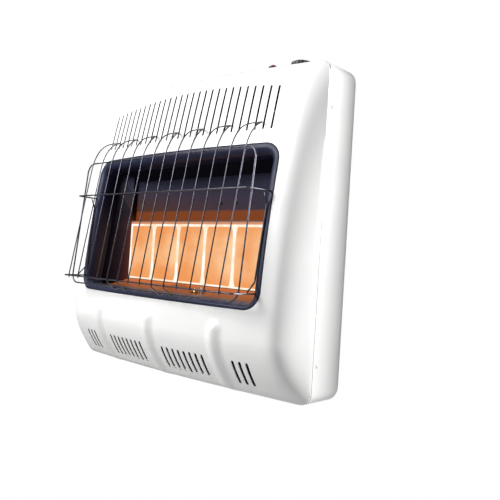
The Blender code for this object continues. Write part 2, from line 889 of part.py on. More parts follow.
def build_guard_frame():
    low, high = window_bottom + loop_inset, window_top - loop_inset
    points = []
    arcs = ((1, low, -90), (1, high, 0), (-1, high, 90), (-1, low, 180))
    for side, edge, start in arcs:
        inner_x = side * (loop_half_width - loop_corner_radius)
        inner_z = edge + loop_corner_radius * (1 if edge == low else -1)
        for k in range(5):
            angle = math.radians(start + 90 * k / 4)
            x = inner_x + loop_corner_radius * math.cos(angle)
            z = inner_z + loop_corner_radius * math.sin(angle)
            points.append((x, -loop_plane(z), z))
    wire("guard_frame", [points], frame_wire_radius, black_wire, closed=True)


def build_guard_bar(name, height, depth, end_place):
    """A cross bar whose ends turn back through the trim's holes."""
    end_depth = face_depth(end_place, height) - bar_entry
    corners = [(-end_place, -end_depth, height), (-bar_half_width, -depth, height),
               (bar_half_width, -depth, height), (end_place, -end_depth, height)]
    straight_in = face_depth(end_place, height) + bar_entry / 2
    corners.insert(1, (-end_place, -straight_in, height))
    corners.insert(-1, (end_place, -straight_in, height))
    wire(name, [rounded(corners, bar_corner_radius)], frame_wire_radius, black_wire)


def bar_leg_place(depth, bar_depth, end_place, height):
    """Place across of a bar's returning end at a given depth."""
    straight_in = face_depth(end_place, height) + bar_entry / 2
    share = (bar_depth - depth) / (bar_depth - straight_in)
    return bar_half_width + (end_place - bar_half_width) * min(max(share, 0.0), 1.0)


def build_guard_stays():
    """Upright wires beside the window that tie the two bars' ends together close to the trim."""
    touch = 2 * frame_wire_radius - 0.0003
    upper = bar_leg_place(stay_upper_depth, upper_bar_depth, upper_bar_end, upper_bar_height)
    lower = bar_leg_place(stay_lower_depth, lower_bar_depth, lower_bar_end, lower_bar_height)
    for side, name in ((-1, "guard_side_stay_left"), (1, "guard_side_stay_right")):
        path = [(side * upper, -stay_upper_depth, upper_bar_height - touch)]
        for x, z in ((upper, stay_upper_kink), (lower, stay_lower_kink)):
            path.append((side * x, -face_depth(x, z) - stay_offset, z))
        path.append((side * lower, -stay_lower_depth, lower_bar_height + touch))
        wire(name, [rounded(path, bar_corner_radius)], frame_wire_radius, black_wire)


def leg_depth(z):
    """Depth of the guard's upright legs: behind the upper bar and before the lower one."""
    upper = upper_bar_depth - crossing
    share = (z - lower_bar_height) / (upper_bar_height - lower_bar_height)
    return leg_front + (upper - leg_front) * share


def hairpin_leg(x, middle, tailed):
    """One leg of a hairpin, from its foot up and over the arc to where the two legs meet."""
    foot = lower_bar_height - leg_overhang
    points = []
    if tailed:
        run = window_bottom + loop_inset
        points.append((x, -loop_plane(run) - tail_lead, run - crossing - tail_drop))
    points.append((x, -leg_front, foot))
    points.append((x, -leg_depth(lower_bar_height), lower_bar_height + leg_overhang))
    start = (leg_depth(arc_start), arc_start)
    end = (face_depth(middle, hairpin_top) + guard_wire_radius + fit_gap, hairpin_top)
    shoulder = (leg_depth(arc_start + arc_reach), arc_start + arc_reach)
    half_leg = abs(x - middle)
    bend_from = 0.74
    for share in (0.0, 0.25, 0.5, bend_from, 0.86, 0.95, 1.0):
        depth = (1 - share) ** 2 * start[0] + 2 * share * (1 - share) * shoulder[0] + share ** 2 * end[0]
        z = (1 - share) ** 2 * start[1] + 2 * share * (1 - share) * shoulder[1] + share ** 2 * end[1]
        turn = max(share - bend_from, 0.0) / (1 - bend_from)
        across = half_leg * math.sqrt(max(1 - turn ** 2, 0.0))
        points.append((middle + math.copysign(across, x - middle), -depth, z))
    return points


def build_guard_hairpins():
    for number in range(1, hairpin_count + 1):
        middle = (number - (hairpin_count + 1) / 2) * 2 * leg_pitch
        tailed = number in tailed_hairpins
        left = hairpin_leg(middle - leg_pitch / 2, middle, tailed)
        right = hairpin_leg(middle + leg_pitch / 2, middle, tailed)
        wire(f"guard_hairpin_{number}", [left + right[-2::-1]], guard_wire_radius, black_wire)


# Firebox
def hood_height(depth):
    """Height of the hood's underside: level over the trim's lip, then sloping down to the back plate."""
    above = window_top - trim_width + sheet + fit_gap
    front = lip_depth(above) - fit_gap
    share = min(max((depth - firebox_back_depth) / (front - firebox_back_depth), 0.0), 1.0)
    return hood_back_height + (above - hood_back_height) * share


def wall_places():
    """Half the clear width between the side walls: beside the trim's lip, and beside the burner."""
    return window_width / 2 - trim_width + sheet + fit_gap, plenum_inside + sheet + fit_gap


def build_firebox_walls():
    """Side walls: a tab outside the trim's lip, a slanting reflector and a flange back to the casing."""
    tab, back = wall_places()
    low = reflector_front_height() - sheet
    rows = 6
    stations = ((tab, lip_overlap, None), (tab, -fit_gap, None), (back, 0, plaque_face + sheet),
                (back, 0, firebox_back_depth), (back, 0, case_inside + fit_gap))
    for side, name in ((-1, "firebox_left_wall"), (1, "firebox_right_wall")):
        lines = []
        for x, ahead, fixed in stations:
            upper_depth = lip_depth(wall_top) + ahead if fixed is None else fixed
            high = hood_height(upper_depth) - fit_gap - sheet * 1.5
            line = []
            for k in range(rows + 1):
                z = low + (high - low) * k / rows
                depth = lip_depth(z) + ahead if fixed is None else fixed
                line.append((side * x, -depth, z))
            lines.append(line[::-1] if side < 0 else line)
        folded_sheet(name, lines, sheet, grey_steel)


def wall_gap_place(depth, z):
    """Half the clear width between the side walls at a depth."""
    tab, back = wall_places()
    front, rear = lip_depth(z) - fit_gap, plaque_face + sheet
    share = min(max((front - depth) / (front - rear), 0.0), 1.0)
    return tab + (back - tab) * share - fit_gap * 3


def build_heat_hood():
    """Ceiling of the firebox: from the back plate up and out over the side walls and the trim's lip."""
    half = wall_places()[0] + sheet + fit_gap
    front = lip_depth(hood_height(overall_depth)) - fit_gap
    lines = []
    for depth in (firebox_back_depth, front, front + lip_overlap):
        lines.append([(-half, -depth, hood_height(depth)), (half, -depth, hood_height(depth))])
    folded_sheet("heat_hood", lines, sheet, grey_steel)


def build_firebox_back():
    """Upright plate above the plaques, with two small holes."""
    low = plaque_top + retainer_reach + 0.0005
    high = hood_back_height - fit_gap
    half = plenum_inside + sheet
    span = ((-half, -firebox_back_depth, low), (half, -firebox_back_depth + sheet, high))
    plate = add("firebox_back", boxes("firebox_back", [span]), grey_steel, smooth=False)
    height = low + (high - low) * firebox_hole_share
    places = [(x, -firebox_back_depth, height) for x in firebox_hole_places]
    cut(plate, rods("sight_holes", places, firebox_hole_radius, 0.01, (0, 1, 0), 12))


def reflector_front_height():
    """Top surface of the reflector where it runs under the trim's lower lip."""
    return window_bottom + trim_width - sheet - fit_gap


def reflector_top(depth):
    """Height of the reflector's top: falls from under the burner to under the trim's lower lip."""
    front = reflector_front_height()
    back = plaque_bottom - fit_gap * 2 - sheet
    run = lip_depth(window_bottom + trim_width) - fit_gap * 3 - plaque_face
    share = min(max((depth - plaque_face) / run, 0.0), 1.0)
    return back + (front - back) * math.sin(share * math.pi / 2)


def build_lower_reflector():
    """Curved tray from under the burner out beneath the trim's lower lip, open over the pilot."""
    lip = lip_depth(window_bottom + trim_width)
    depths = [lip + lip_overlap]
    depths += [plaque_face + (lip - fit_gap * 3 - plaque_face) * k / 6 for k in range(6, -1, -1)]
    depths.append(plaque_face - reflector_tuck)
    lines = []
    for depth in depths:
        half = wall_gap_place(depth, reflector_front_height())
        lines.append([(-half, -depth, reflector_top(depth)), (half, -depth, reflector_top(depth))])
    tray = folded_sheet("lower_reflector", lines, sheet, hot_steel)
    left, right = pilot_place - pilot_opening_left, pilot_place + pilot_opening_right
    cut(tray, boxes("pilot_opening", [
        ((left, -pilot_depth - pilot_opening_half, pilot_base),
         (right, -pilot_depth + pilot_opening_half, plaque_bottom + pilot_opening_half))]))


# Burner
def build_plenum():
    """Open-fronted pan behind the plaques, fed from below by the mixing tube."""
    half = plenum_inside + sheet
    low, high = plaque_bottom - fit_gap - sheet, plaque_top + fit_gap + sheet
    front, back = plaque_face, plaque_face - plenum_depth - sheet
    bm = bmesh.new()
    add_box_to(bm, (-half, -front, low), (half, -back, high))
    bmesh.ops.recalc_face_normals(bm, faces=bm.faces)
    bm.faces.ensure_lookup_table()
    open_side = min(bm.faces, key=lambda f: f.calc_center_median().y)
    bmesh.ops.delete(bm, geom=[open_side], context="FACES_ONLY")
    mesh = bpy.data.meshes.new("burner_plenum")
    bm.to_mesh(mesh)
    bm.free()
    plenum = add("burner_plenum", mesh, grey_steel, smooth=False)
    thicken(plenum, sheet)
    shelf = plaque_face - plaque_thickness - gasket_thickness - 0.0006
    join(plenum, boxes("gasket_shelf", [((-half + sheet / 2, -shelf, low + sheet / 2),
                                         (half - sheet / 2, -shelf + sheet, high - sheet / 2))]))
    cut(plenum, burner_openings("shelf_openings", shelf, sheet, 0.005))
    cut(plenum, rods("mixing_tube_hole", [(mixing_tube_rise, -mixing_tube_depth, low)],
                     mixing_tube_radius + fit_gap, 0.02, (0, 0, 1), 20))


def build_plaques():
    half = (plaque_pitch - plaque_gap) / 2
    for number in range(1, plaque_count + 1):
        middle = (number - (plaque_count + 1) / 2) * plaque_pitch
        span = ((-half, -plaque_thickness / 2, 0), (half, plaque_thickness / 2, plaque_height))
        name = f"ceramic_plaque_{number}"
        plaque = add(name, boxes(name, [span]), hot_ceramic,
                     (middle, -plaque_face + plaque_thickness / 2, plaque_bottom))
        soften(plaque, 0.0006, 1)


def burner_openings(name, depth, thickness, border):
    """Cutters for an opening behind each plaque, through a plate at the depth."""
    holes = []
    for number in range(plaque_count):
        middle = (number - (plaque_count - 1) / 2) * plaque_pitch
        holes.append(((middle - plaque_pitch / 2 + border, -depth - 0.001, plaque_bottom + border),
                      (middle + plaque_pitch / 2 - border, -depth + thickness + 0.001, plaque_top - border)))
    return boxes(name, holes)


def build_plaque_holders():
    """Fibre gasket behind the plaques and the pressed frame over their edges and joints."""
    depth = plaque_face - plaque_thickness - 0.0003
    gasket = add("plaque_gasket", boxes("plaque_gasket", [
        ((-plaque_row, -depth, plaque_bottom), (plaque_row, -depth + gasket_thickness, plaque_top))]),
        gasket_fibre, smooth=False)
    cut(gasket, burner_openings("gasket_openings", depth, gasket_thickness, 0.006))
    face = plaque_face + 0.0003
    half = plenum_inside + sheet
    frame = add("plaque_retainer", boxes("plaque_retainer", [
        ((-half, -face - sheet, plaque_bottom - fit_gap), (half, -face, plaque_top + retainer_reach))]),
        white_hot, smooth=False)
    cut(frame, retainer_openings(face))


def retainer_openings(face):
    """One opening over each plaque; the bars left between them are narrow at the waist, flared at the ends."""
    low, high = plaque_bottom + retainer_overlap, plaque_top - retainer_overlap
    waist, flare = divider_waist / 2, divider_flare / 2
    knee = waist + (flare - waist) * 0.3
    lower = [(low, flare), (low + divider_flare_height * 0.45, knee), (low + divider_flare_height, waist)]
    bar_side = lower + [(low + high - z, half_bar) for z, half_bar in reversed(lower)]
    bm = bmesh.new()
    for number in range(plaque_count):
        middle = (number - (plaque_count - 1) / 2) * plaque_pitch
        left_end, right_end = number == 0, number == plaque_count - 1
        left = [(middle - plaque_pitch / 2 + (retainer_overlap if left_end else w), z) for z, w in bar_side]
        right = [(middle + plaque_pitch / 2 - (retainer_overlap if right_end else w), z) for z, w in bar_side]
        outline = right + left[::-1]
        opening = bm.faces.new([bm.verts.new((x, -face + sheet, z)) for x, z in outline])
        grown = bmesh.ops.extrude_face_region(bm, geom=[opening])["geom"]
        moved = [g for g in grown if isinstance(g, bmesh.types.BMVert)]
        bmesh.ops.translate(bm, vec=(0, -sheet * 3, 0), verts=moved)
    return mesh_from_bmesh("retainer_openings", bm)


def bent_strap(name, place, half, front, back, top, middle, foot):
    """A strap that stands behind a piece, turns back to the casing and ends in a foot on it."""
    profile = [(front - sheet, top), (front - sheet, middle), (back, middle), (back, foot)]
    lines = [[(place - half, -depth, z), (place + half, -depth, z)] for depth, z in profile]
    folded_sheet(name, lines, sheet, zinc_steel)


def build_burner_brackets():
    """Two bent straps that carry the plenum off the casing's back."""
    behind = plaque_face - plenum_depth - sheet - fit_gap
    middle = (plaque_bottom + plaque_top) / 2
    for side, name in ((-1, "burner_bracket_left"), (1, "burner_bracket_right")):
        bent_strap(name, side * plaque_pitch * 2, 0.011, behind, case_inside + fit_gap,
                   middle + 0.022, middle, middle - 0.022)


def build_mixing_tube():
    """Hollow tube: open mouth facing the injector, elbow up into the plenum."""
    low = plaque_bottom - fit_gap - sheet
    corners = [(mixing_tube_mouth, -mixing_tube_depth, mixing_tube_height),
               (mixing_tube_rise, -mixing_tube_depth, mixing_tube_height),
               (mixing_tube_rise, -mixing_tube_depth, low + 0.003)]
    wall = 0.0010
    path = wire("mixing_tube_path", [rounded(corners, mixing_tube_bend, 5)],
                mixing_tube_radius, grey_steel, resolution=4)
    path.data.use_fill_caps = False
    bpy.context.view_layer.update()
    seen = path.evaluated_get(bpy.context.evaluated_depsgraph_get())
    mesh = bpy.data.meshes.new_from_object(seen)
    mesh.name = "mixing_tube"
    bpy.data.objects.remove(path, do_unlink=True)
    tube = add("mixing_tube", mesh, grey_steel)
    thicken(tube, wall)


# Gas train
def build_valve():
    wide, deep, high = valve_size
    middle = valve_bottom + high / 2
    low = (-wide / 2, -deep / 2, -high / 2)
    body = add("gas_valve_body", boxes("gas_valve_body", [(low, (wide / 2, deep / 2, high / 2))]),
               cast_aluminium, (knob_place, -control_depth, middle))
    soften(body, 0.004, 1)
    boss_height = boss_top - middle - high * 0.4
    join(body, rods("valve_boss", [(knob_place, -control_depth, boss_top - boss_height / 2)],
                    boss_radius, boss_height, (0, 0, 1), 20))
    cut(body, rods("stem_bore", [(knob_place, -control_depth, boss_top)],
                   stem_radius + fit_gap, stem_depth_in_boss * 2, (0, 0, 1), 20))
    bent_strap("valve_bracket", knob_place, wide * 0.4, control_depth - deep / 2 - fit_gap,
               case_inside + fit_gap, middle + high * 0.3, middle - high * 0.3, middle - high * 0.6)


def d_shaft(name, radius, flat, low, high):
    """Round shaft with one flat, standing on the knob's axis."""
    points = []
    limit = math.acos(flat / radius)
    for k in range(15):
        angle = limit + (2 * math.pi - 2 * limit) * k / 14
        points.append((radius * math.cos(angle), radius * math.sin(angle), low))
    return flat_piece(name, points, high - low, (0, 0, 1))


def build_stem_and_knob():
    axis = (knob_place, -control_depth, 0)
    stem_bottom = boss_top - stem_depth_in_boss + fit_gap
    add("valve_stem", d_shaft("valve_stem", stem_radius, stem_flat, stem_bottom, stem_top), brass, axis)
    skirt = top_edge(knob_place - knob_radius) + knob_skirt_gap - (knob_skirt_gap - knob_travel) / 3
    build_knob(axis, skirt)
    spring_low, spring_high = boss_top + 0.0003, hub_bottom - 0.0003
    wall = 0.0009
    inner = stem_radius + 0.0008
    turned("stem_spring", [(inner + wall, spring_low), (inner + wall, spring_high),
                           (inner, spring_high), (inner, spring_low)], axis, zinc_steel, 16)


def build_knob(axis, skirt):
    """Ridged knob with a hub that reaches down through the case's top onto the stem."""
    top = overall_height
    bm = bmesh.new()
    sides = knob_ridges * 2
    rings = []
    chamfer = 0.0015
    for radius, z in ((knob_radius, skirt), (knob_radius, top - chamfer), (knob_radius - chamfer, top)):
        ring = []
        for k in range(sides):
            groove = ridge_depth if k % 2 else 0.0
            angle = 2 * math.pi * k / sides
            ring.append(bm.verts.new(((radius - groove) * math.cos(angle), (radius - groove) * math.sin(angle), z)))
        rings.append(ring)
    for lower, upper in zip(rings, rings[1:]):
        for k in range(sides):
            bm.faces.new((lower[k], lower[(k + 1) % sides], upper[(k + 1) % sides], upper[k]))
    bm.faces.new(rings[0])
    bm.faces.new(rings[-1])
    knob = add("control_knob", mesh_from_bmesh("control_knob", bm), dark_plastic, axis, smooth=False)
    hub_height = skirt + 0.002 - hub_bottom
    join(knob, rods("knob_hub", [(knob_place, -control_depth, hub_bottom + hub_height / 2)],
                    hub_radius, hub_height, (0, 0, 1), 20))
    bore_top = stem_top + knob_travel + 0.0005
    bore = d_shaft("knob_bore", stem_radius + 0.0003, stem_flat + 0.0003, hub_bottom - 0.002, bore_top)
    cut(knob, bore, axis)
    return knob


def build_igniter():
    """Push igniter: collar above the case, threaded body below, nut, sprung button."""
    axis = (button_place, -button_depth, 0)
    slope = 2 * arch_rise * button_place / half_width ** 2
    seat = top_edge(button_place) + slope * collar_radius + fit_gap
    bore = button_radius + 0.0003
    profile = [(0, igniter_body_bottom), (igniter_body_radius * 0.6, igniter_body_bottom),
               (igniter_body_radius, igniter_body_bottom + 0.004), (igniter_body_radius, seat),
               (collar_radius, seat), (collar_radius, collar_top - 0.001), (collar_radius - 0.001, collar_top),
               (bore, collar_top), (bore, igniter_bore_bottom), (0, igniter_bore_bottom)]
    turned("piezo_igniter_body", profile, axis, black_plastic, 24)
    under = top_edge(button_place) - sheet - slope * nut_radius - fit_gap
    inner = igniter_body_radius + 0.0003
    turned("igniter_nut", [(nut_radius, under - nut_height), (nut_radius, under), (inner, under),
                           (inner, under - nut_height)], axis, zinc_steel, 12)
    dome = 0.002
    turned("igniter_button", [(0, button_bottom), (button_radius, button_bottom),
                              (button_radius, button_top - dome), (button_radius * 0.75, button_top - dome * 0.3),
                              (button_radius * 0.35, button_top), (0, button_top)], axis, red_plastic, 24)
    low, high = igniter_bore_bottom + 0.0003, button_bottom - 0.0003
    turned("igniter_spring", [(0.0044, low), (0.0044, high), (0.0032, high), (0.0032, low)],
           axis, zinc_steel, 16)


def build_injector():
    """Brass injector that squirts gas into the mixing tube's mouth, on its own bracket."""
    start = mixing_tube_mouth + injector_gap
    end = start + injector_length
    place = (start, -mixing_tube_depth, mixing_tube_height)
    turned("main_injector", [(0, 0), (0.0025, 0), (0.0035, 0.004), (injector_radius, 0.005),
                             (injector_radius, injector_length), (0, injector_length)],
           place, brass, 16, (0, math.pi / 2, 0))
    collar = start + injector_length * 0.6
    low = collar - sheet / 2
    near, far = -mixing_tube_depth + injector_post_half, -mixing_tube_depth - injector_post_half
    floor, crown = sheet + fit_gap, mixing_tube_height + injector_post_crown
    outline = [(low, near, floor), (low, near, crown), (low, far, crown), (low, far, floor)]
    post = add("injector_bracket", flat_piece("injector_bracket", outline, sheet, (1, 0, 0)),
               zinc_steel, smooth=False)
    cut(post, rods("injector_hole", [(collar, -mixing_tube_depth, mixing_tube_height)],
                   injector_radius + 0.0003, 0.02, (1, 0, 0), 16))
    return end


def build_regulator():
    """Round pressure regulator near the case's bottom, its inlet nipple pointing down."""
    place = (regulator_place, -regulator_depth, regulator_height)
    half = regulator_length / 2
    turned("pressure_regulator", [(0, -half), (regulator_radius * 0.7, -half), (regulator_radius, -half * 0.5),
                                  (regulator_radius, half * 0.5), (regulator_radius * 0.55, half), (0, half)],
           place, cast_aluminium, 24, (math.pi / 2, 0, 0))
    top = regulator_height - regulator_radius - fit_gap
    turned("inlet_nipple", [(inlet_radius, inlet_end), (inlet_radius, top), (inlet_bore, top),
                            (inlet_bore, inlet_end)],
           (regulator_place, -regulator_depth, 0), brass, 20)
    bent_strap("regulator_bracket", regulator_place, regulator_strap, regulator_depth - half - fit_gap,
               case_inside + fit_gap, regulator_height + regulator_strap, regulator_height - regulator_strap,
               regulator_height - regulator_strap_foot)


def build_pipes(injector_end):
    wide, deep, high = valve_size
    bend = 0.014
    inlet_top = valve_bottom + high / 2
    inlet_start = regulator_height + regulator_radius + fit_gap
    wire("inlet_tube", [rounded([
        (regulator_place, -regulator_depth, inlet_start),
        (regulator_place, -regulator_depth, inlet_top),
        (knob_place + wide / 2 + 0.0003, -regulator_depth, inlet_top)], bend)], pipe_radius, copper_tube, resolution=2)
    under = valve_bottom - 0.0003
    wire("outlet_tube", [rounded([
        (knob_place + wide * 0.25, -control_depth, under),
        (knob_place + wide * 0.25, -control_depth, under - outlet_drop),
        (outlet_riser, -control_depth - outlet_step, under - outlet_drop * 2),
        (outlet_riser, -control_depth - outlet_step, mixing_tube_height + outlet_drop),
        (outlet_riser, -mixing_tube_depth, mixing_tube_height),
        (injector_end + 0.0003, -mixing_tube_depth, mixing_tube_height)], bend)], pipe_radius, copper_tube)
    wire("pilot_tube", [rounded(lead_route(
        (knob_place - wide * 0.25, -control_depth, under), 0, pilot_place, pilot_base - 0.0003), bend)],
        small_pipe_radius, copper_tube)


def lead_route(start, number, end_place, end_height):
    """Route of a thin lead to the pilot: down beside the firebox, along under the tray and up.

    Leads are numbered from the inside; each keeps its own lane beside, before and above the last.
    """
    riser = lead_riser + number * lead_pitch
    depth = lead_depth + number * lead_pitch * 0.8
    run = lead_run + number * lead_pitch * 1.2
    drop = start[2] - 0.044 + number * lead_pitch * 1.2
    return [start, (start[0], start[1], drop),
            (riser, -depth, drop - 0.036), (riser, -depth, run), (end_place, -pilot_depth, run),
            (end_place, -pilot_depth, end_height)]


def build_pilot():
    """Pilot burner in front of the plaques, its flame probe and spark electrode, on one bracket."""
    turned("pilot_burner", [(0, 0), (pilot_radius, 0), (pilot_radius, pilot_height * 0.7),
                            (pilot_radius * 0.7, pilot_height), (0, pilot_height)],
           (pilot_place, -pilot_depth, pilot_base), brass, 16)
    plate_low = pilot_base + 0.003
    span = ((pilot_place - 0.012, -pilot_depth - 0.010, plate_low),
            (pilot_place + 0.030, -pilot_depth + 0.010, plate_low + sheet))
    plate = add("pilot_bracket", boxes("pilot_bracket", [span]), zinc_steel, smooth=False)
    stand_top = reflector_top(pilot_depth + 0.010) - sheet * 1.1 - fit_gap
    stand_x = pilot_place + 0.0255
    join(plate, boxes("pilot_bracket_stand", [((stand_x, -pilot_depth - 0.010, plate_low + sheet / 2),
                                               (stand_x + 0.004, -pilot_depth + 0.010, stand_top))]))
    probe_x, spark_x = pilot_place + 0.0105, pilot_place + 0.0185
    cut(plate, rods("pilot_holes", [(pilot_place, -pilot_depth, plate_low)], pilot_radius + 0.0003, 0.02, (0, 0, 1), 16))
    cut(plate, rods("probe_holes", [(probe_x, -pilot_depth, plate_low), (spark_x, -pilot_depth, plate_low)],
                    probe_radius + fit_gap, 0.02, (0, 0, 1), 12))
    return probe_x, spark_x


def build_pilot_leads(probe_x, spark_x):
    top = pilot_base + pilot_height + 0.004
    bend = 0.012
    wire("thermocouple", [rounded(lead_route(
        (knob_place, -control_depth, valve_bottom - 0.0003), 1, probe_x, top), bend)], probe_radius, copper_tube)
    spark_low = pilot_base - 0.006
    add("igniter_electrode", rods("igniter_electrode", [(spark_x, -pilot_depth, (spark_low + top) / 2)],
                                  probe_radius, top - spark_low, (0, 0, 1), 12), white_porcelain)
    wire("igniter_wire", [rounded(lead_route(
        (button_place, -button_depth, igniter_body_bottom - 0.0003), 2, spark_x, spark_low - 0.0003), bend)],
        wire_radius, orange_sleeve)


def build_pilot_shield():
    """Arched cover that stands on the reflector in front of the plaques, beside the pilot."""
    steps = 8
    lines = []
    for k in range(steps + 1):
        angle = math.pi * k / steps
        x = shield_place - shield_half_width * math.cos(angle)
        rise = shield_rise * math.sin(angle) ** 1.5 + sheet
        line = []
        for depth in (shield_depth, shield_depth + shield_length):
            line.append((x, -depth, reflector_top(depth) + fit_gap + rise))
        lines.append(line)
    folded_sheet("pilot_shield", lines, sheet, hot_steel)


build_front_cover()
build_rear_casing()
build_cover_screws()
build_wall_bracket()
build_window_trim()
build_guard_frame()
build_guard_bar("guard_upper_bar", upper_bar_height, upper_bar_depth, upper_bar_end)
build_guard_bar("guard_lower_bar", lower_bar_height, lower_bar_depth, lower_bar_end)
build_guard_stays()
build_guard_hairpins()
build_firebox_walls()
build_heat_hood()
build_firebox_back()
build_lower_reflector()
build_plenum()
build_plaques()
build_plaque_holders()
build_burner_brackets()
build_mixing_tube()
build_valve()
build_stem_and_knob()
build_igniter()
build_pipes(build_injector())
build_regulator()
build_pilot_leads(*build_pilot())
build_pilot_shield()
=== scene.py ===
# %% [markdown]
# # A wall-hung infrared gas heater
#
# The heater is a white enamelled case with a bowed front. A dark trim frames a window, and behind
# a guard of bent wires five ceramic plaques glow orange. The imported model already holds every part
# in its place, so this lesson keeps its sizes and gives each part its fine shape and its finish.

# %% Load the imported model
import math

import bmesh
import bpy
import numpy as np
from mathutils import Matrix, Vector


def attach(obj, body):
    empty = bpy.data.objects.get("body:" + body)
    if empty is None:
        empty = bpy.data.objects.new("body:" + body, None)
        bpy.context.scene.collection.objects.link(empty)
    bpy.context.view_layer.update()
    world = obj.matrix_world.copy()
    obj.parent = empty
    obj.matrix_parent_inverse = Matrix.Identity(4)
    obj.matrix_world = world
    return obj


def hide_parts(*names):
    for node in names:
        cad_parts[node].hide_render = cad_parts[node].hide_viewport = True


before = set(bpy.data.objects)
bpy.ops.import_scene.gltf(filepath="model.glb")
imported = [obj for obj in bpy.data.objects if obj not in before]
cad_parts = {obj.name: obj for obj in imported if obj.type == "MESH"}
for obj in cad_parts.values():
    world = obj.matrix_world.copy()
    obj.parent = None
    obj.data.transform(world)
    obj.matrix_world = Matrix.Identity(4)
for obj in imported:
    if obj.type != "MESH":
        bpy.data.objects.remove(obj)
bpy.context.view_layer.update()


def add_object(name, data):
    """A new object in the scene that holds the data."""
    made = bpy.data.objects.new(name, data)
    bpy.context.scene.collection.objects.link(made)
    return made


# %% [markdown]
# ## The camera
#
# The view is from the right and a little below the middle of the case. Depth is measured from the
# wall and height from the case's bottom, which hangs 520 mm below the model's origin. The camera
# is described the way a photographer would: turned to the left, tipped up a hair and rolled a little.

# %% Set the camera
hang = 0.520
camera_place = (0.96769, -0.96888, 0.25253 - hang)
turn, tip, roll = 0.7481, 0.0153, 0.0618
film_width, focal_length, shift_across, shift_up = 36, 42.66, 0.01126, 0.00286

forward = Vector((-math.sin(turn) * math.cos(tip), math.cos(turn) * math.cos(tip), math.sin(tip)))
level = forward.cross(Vector((0, 0, 1))).normalized()
upright = level.cross(forward)
right = level * math.cos(roll) + upright * math.sin(roll)
upward = upright * math.cos(roll) - level * math.sin(roll)

camera = add_object("camera", bpy.data.cameras.new("camera"))
stance = Matrix((right, upward, -forward)).transposed().to_4x4()
camera.matrix_world = Matrix.Translation(camera_place) @ stance
camera.data.sensor_width = film_width
camera.data.lens = focal_length
camera.data.shift_x = shift_across
camera.data.shift_y = shift_up
bpy.context.scene.camera = camera
print("the camera stands", round(Vector(camera_place).length, 3), "m from the origin")

# %% [markdown]
# ## Light and background
#
# Enamel shows its lamps, so large soft lamps are used: one to the left before the front, one to the
# right behind the side and a weak one above. The rounded edge that faces the camera lies between the
# first two and stays greyer, which is what draws the corner. Two black cards, out of the camera's
# sight, help: one lets the side fade towards the wall, and one behind the camera keeps the edge grey.
# The background is white only to the eye of the camera.

# %% Light the studio
bpy.context.scene.view_settings.view_transform = "Standard"


def soft_lamp(name, place, aim, size, power):
    """A square lamp of the given size in metres that looks at the aim."""
    lamp = bpy.data.lights.new(name, "AREA")
    lamp.size = size
    lamp.energy = power
    made = add_object(name, lamp)
    made.location = place
    made.rotation_euler = (Vector(aim) - Vector(place)).to_track_quat("-Z", "Y").to_euler()


soft_lamp("front_lamp", (-0.85, -2.05, 0.95), (0, -0.1, -0.1), 1.0, 71)
soft_lamp("side_lamp", (2.08, 1.60, 0.55), (0.3, -0.1, -0.2), 1.2, 200)
soft_lamp("top_lamp", (0.1, -0.6, 2.2), (0, -0.1, -0.2), 1.2, 7)

room_light, seen_light = 0.32, 1.0
world = bpy.data.worlds.new("studio")
bpy.context.scene.world = world
world.use_nodes = True
sky = world.node_tree
background = sky.nodes["Background"]
background.inputs["Color"].default_value = (1, 1, 1, 1)
ray = sky.nodes.new("ShaderNodeLightPath")
seen = sky.nodes.new("ShaderNodeMix")
seen.data_type = "FLOAT"
seen.inputs[2].default_value = room_light
seen.inputs[3].default_value = seen_light
sky.links.new(ray.outputs["Is Camera Ray"], seen.inputs[0])
sky.links.new(seen.outputs[0], background.inputs["Strength"])


def black_card(name, start, end, low, high):
    """An upright card between two points of the floor plan, which the camera can't see."""
    corners = [(*start, low), (*end, low), (*end, high), (*start, high)]
    mesh = bpy.data.meshes.new(name)
    mesh.from_pydata(corners, [], [(0, 1, 2, 3)])
    made = add_object(name, mesh)
    made.visible_camera = False
    return made


cards = [black_card("side_card", (0.584, 0.120), (0.239, 0.480), -1.2, 0.9),
         black_card("camera_card", (0.45, -1.95), (1.95, -0.45), -1.3, 0.9)]
print("three lamps, two black cards and a plain white studio")

# %% [markdown]
# ## Tools for surfaces
#
# Each shape is worked out as a grid of points, where one number runs along the rows and another
# along the columns. A single helper turns any such grid into a mesh. Whole arrays are handed over
# at once, which is quick and keeps the formula in view.

# %% Grid to mesh
def quarter(steps):
    """The angles of a quarter turn."""
    return np.linspace(0, np.pi / 2, steps)


def place(x, depth, height):
    """Points of the heater's frame from the place across, the depth from the wall and the height."""
    x, depth, height = np.broadcast_arrays(x, depth, height)
    return np.stack([x, -depth, height - hang], axis=-1).astype(float)


def mesh_from_arrays(name, points, quads):
    """An object from an array of points and an array of faces with four corners each."""
    mesh = bpy.data.meshes.new(name)
    mesh.vertices.add(len(points))
    mesh.vertices.foreach_set("co", np.ascontiguousarray(points, dtype=np.float32).ravel())
    mesh.loops.add(quads.size)
    mesh.loops.foreach_set("vertex_index", np.ascontiguousarray(quads, dtype=np.int32).ravel())
    mesh.polygons.add(len(quads))
    mesh.polygons.foreach_set("loop_start", np.arange(0, quads.size, 4, dtype=np.int32))
    mesh.update(calc_edges=True)
    return add_object(name, mesh)


def grid_quads(rows, columns, close_rows=False, close_columns=False):
    """Faces between neighbouring points of a grid, which may close on itself either way."""
    index = np.arange(rows * columns).reshape(rows, columns)
    if close_rows:
        index = np.vstack([index, index[:1]])
    if close_columns:
        index = np.hstack([index, index[:, :1]])
    corners = index[:-1, :-1], index[1:, :-1], index[1:, 1:], index[:-1, 1:]
    return np.stack(corners, axis=-1).reshape(-1, 4)


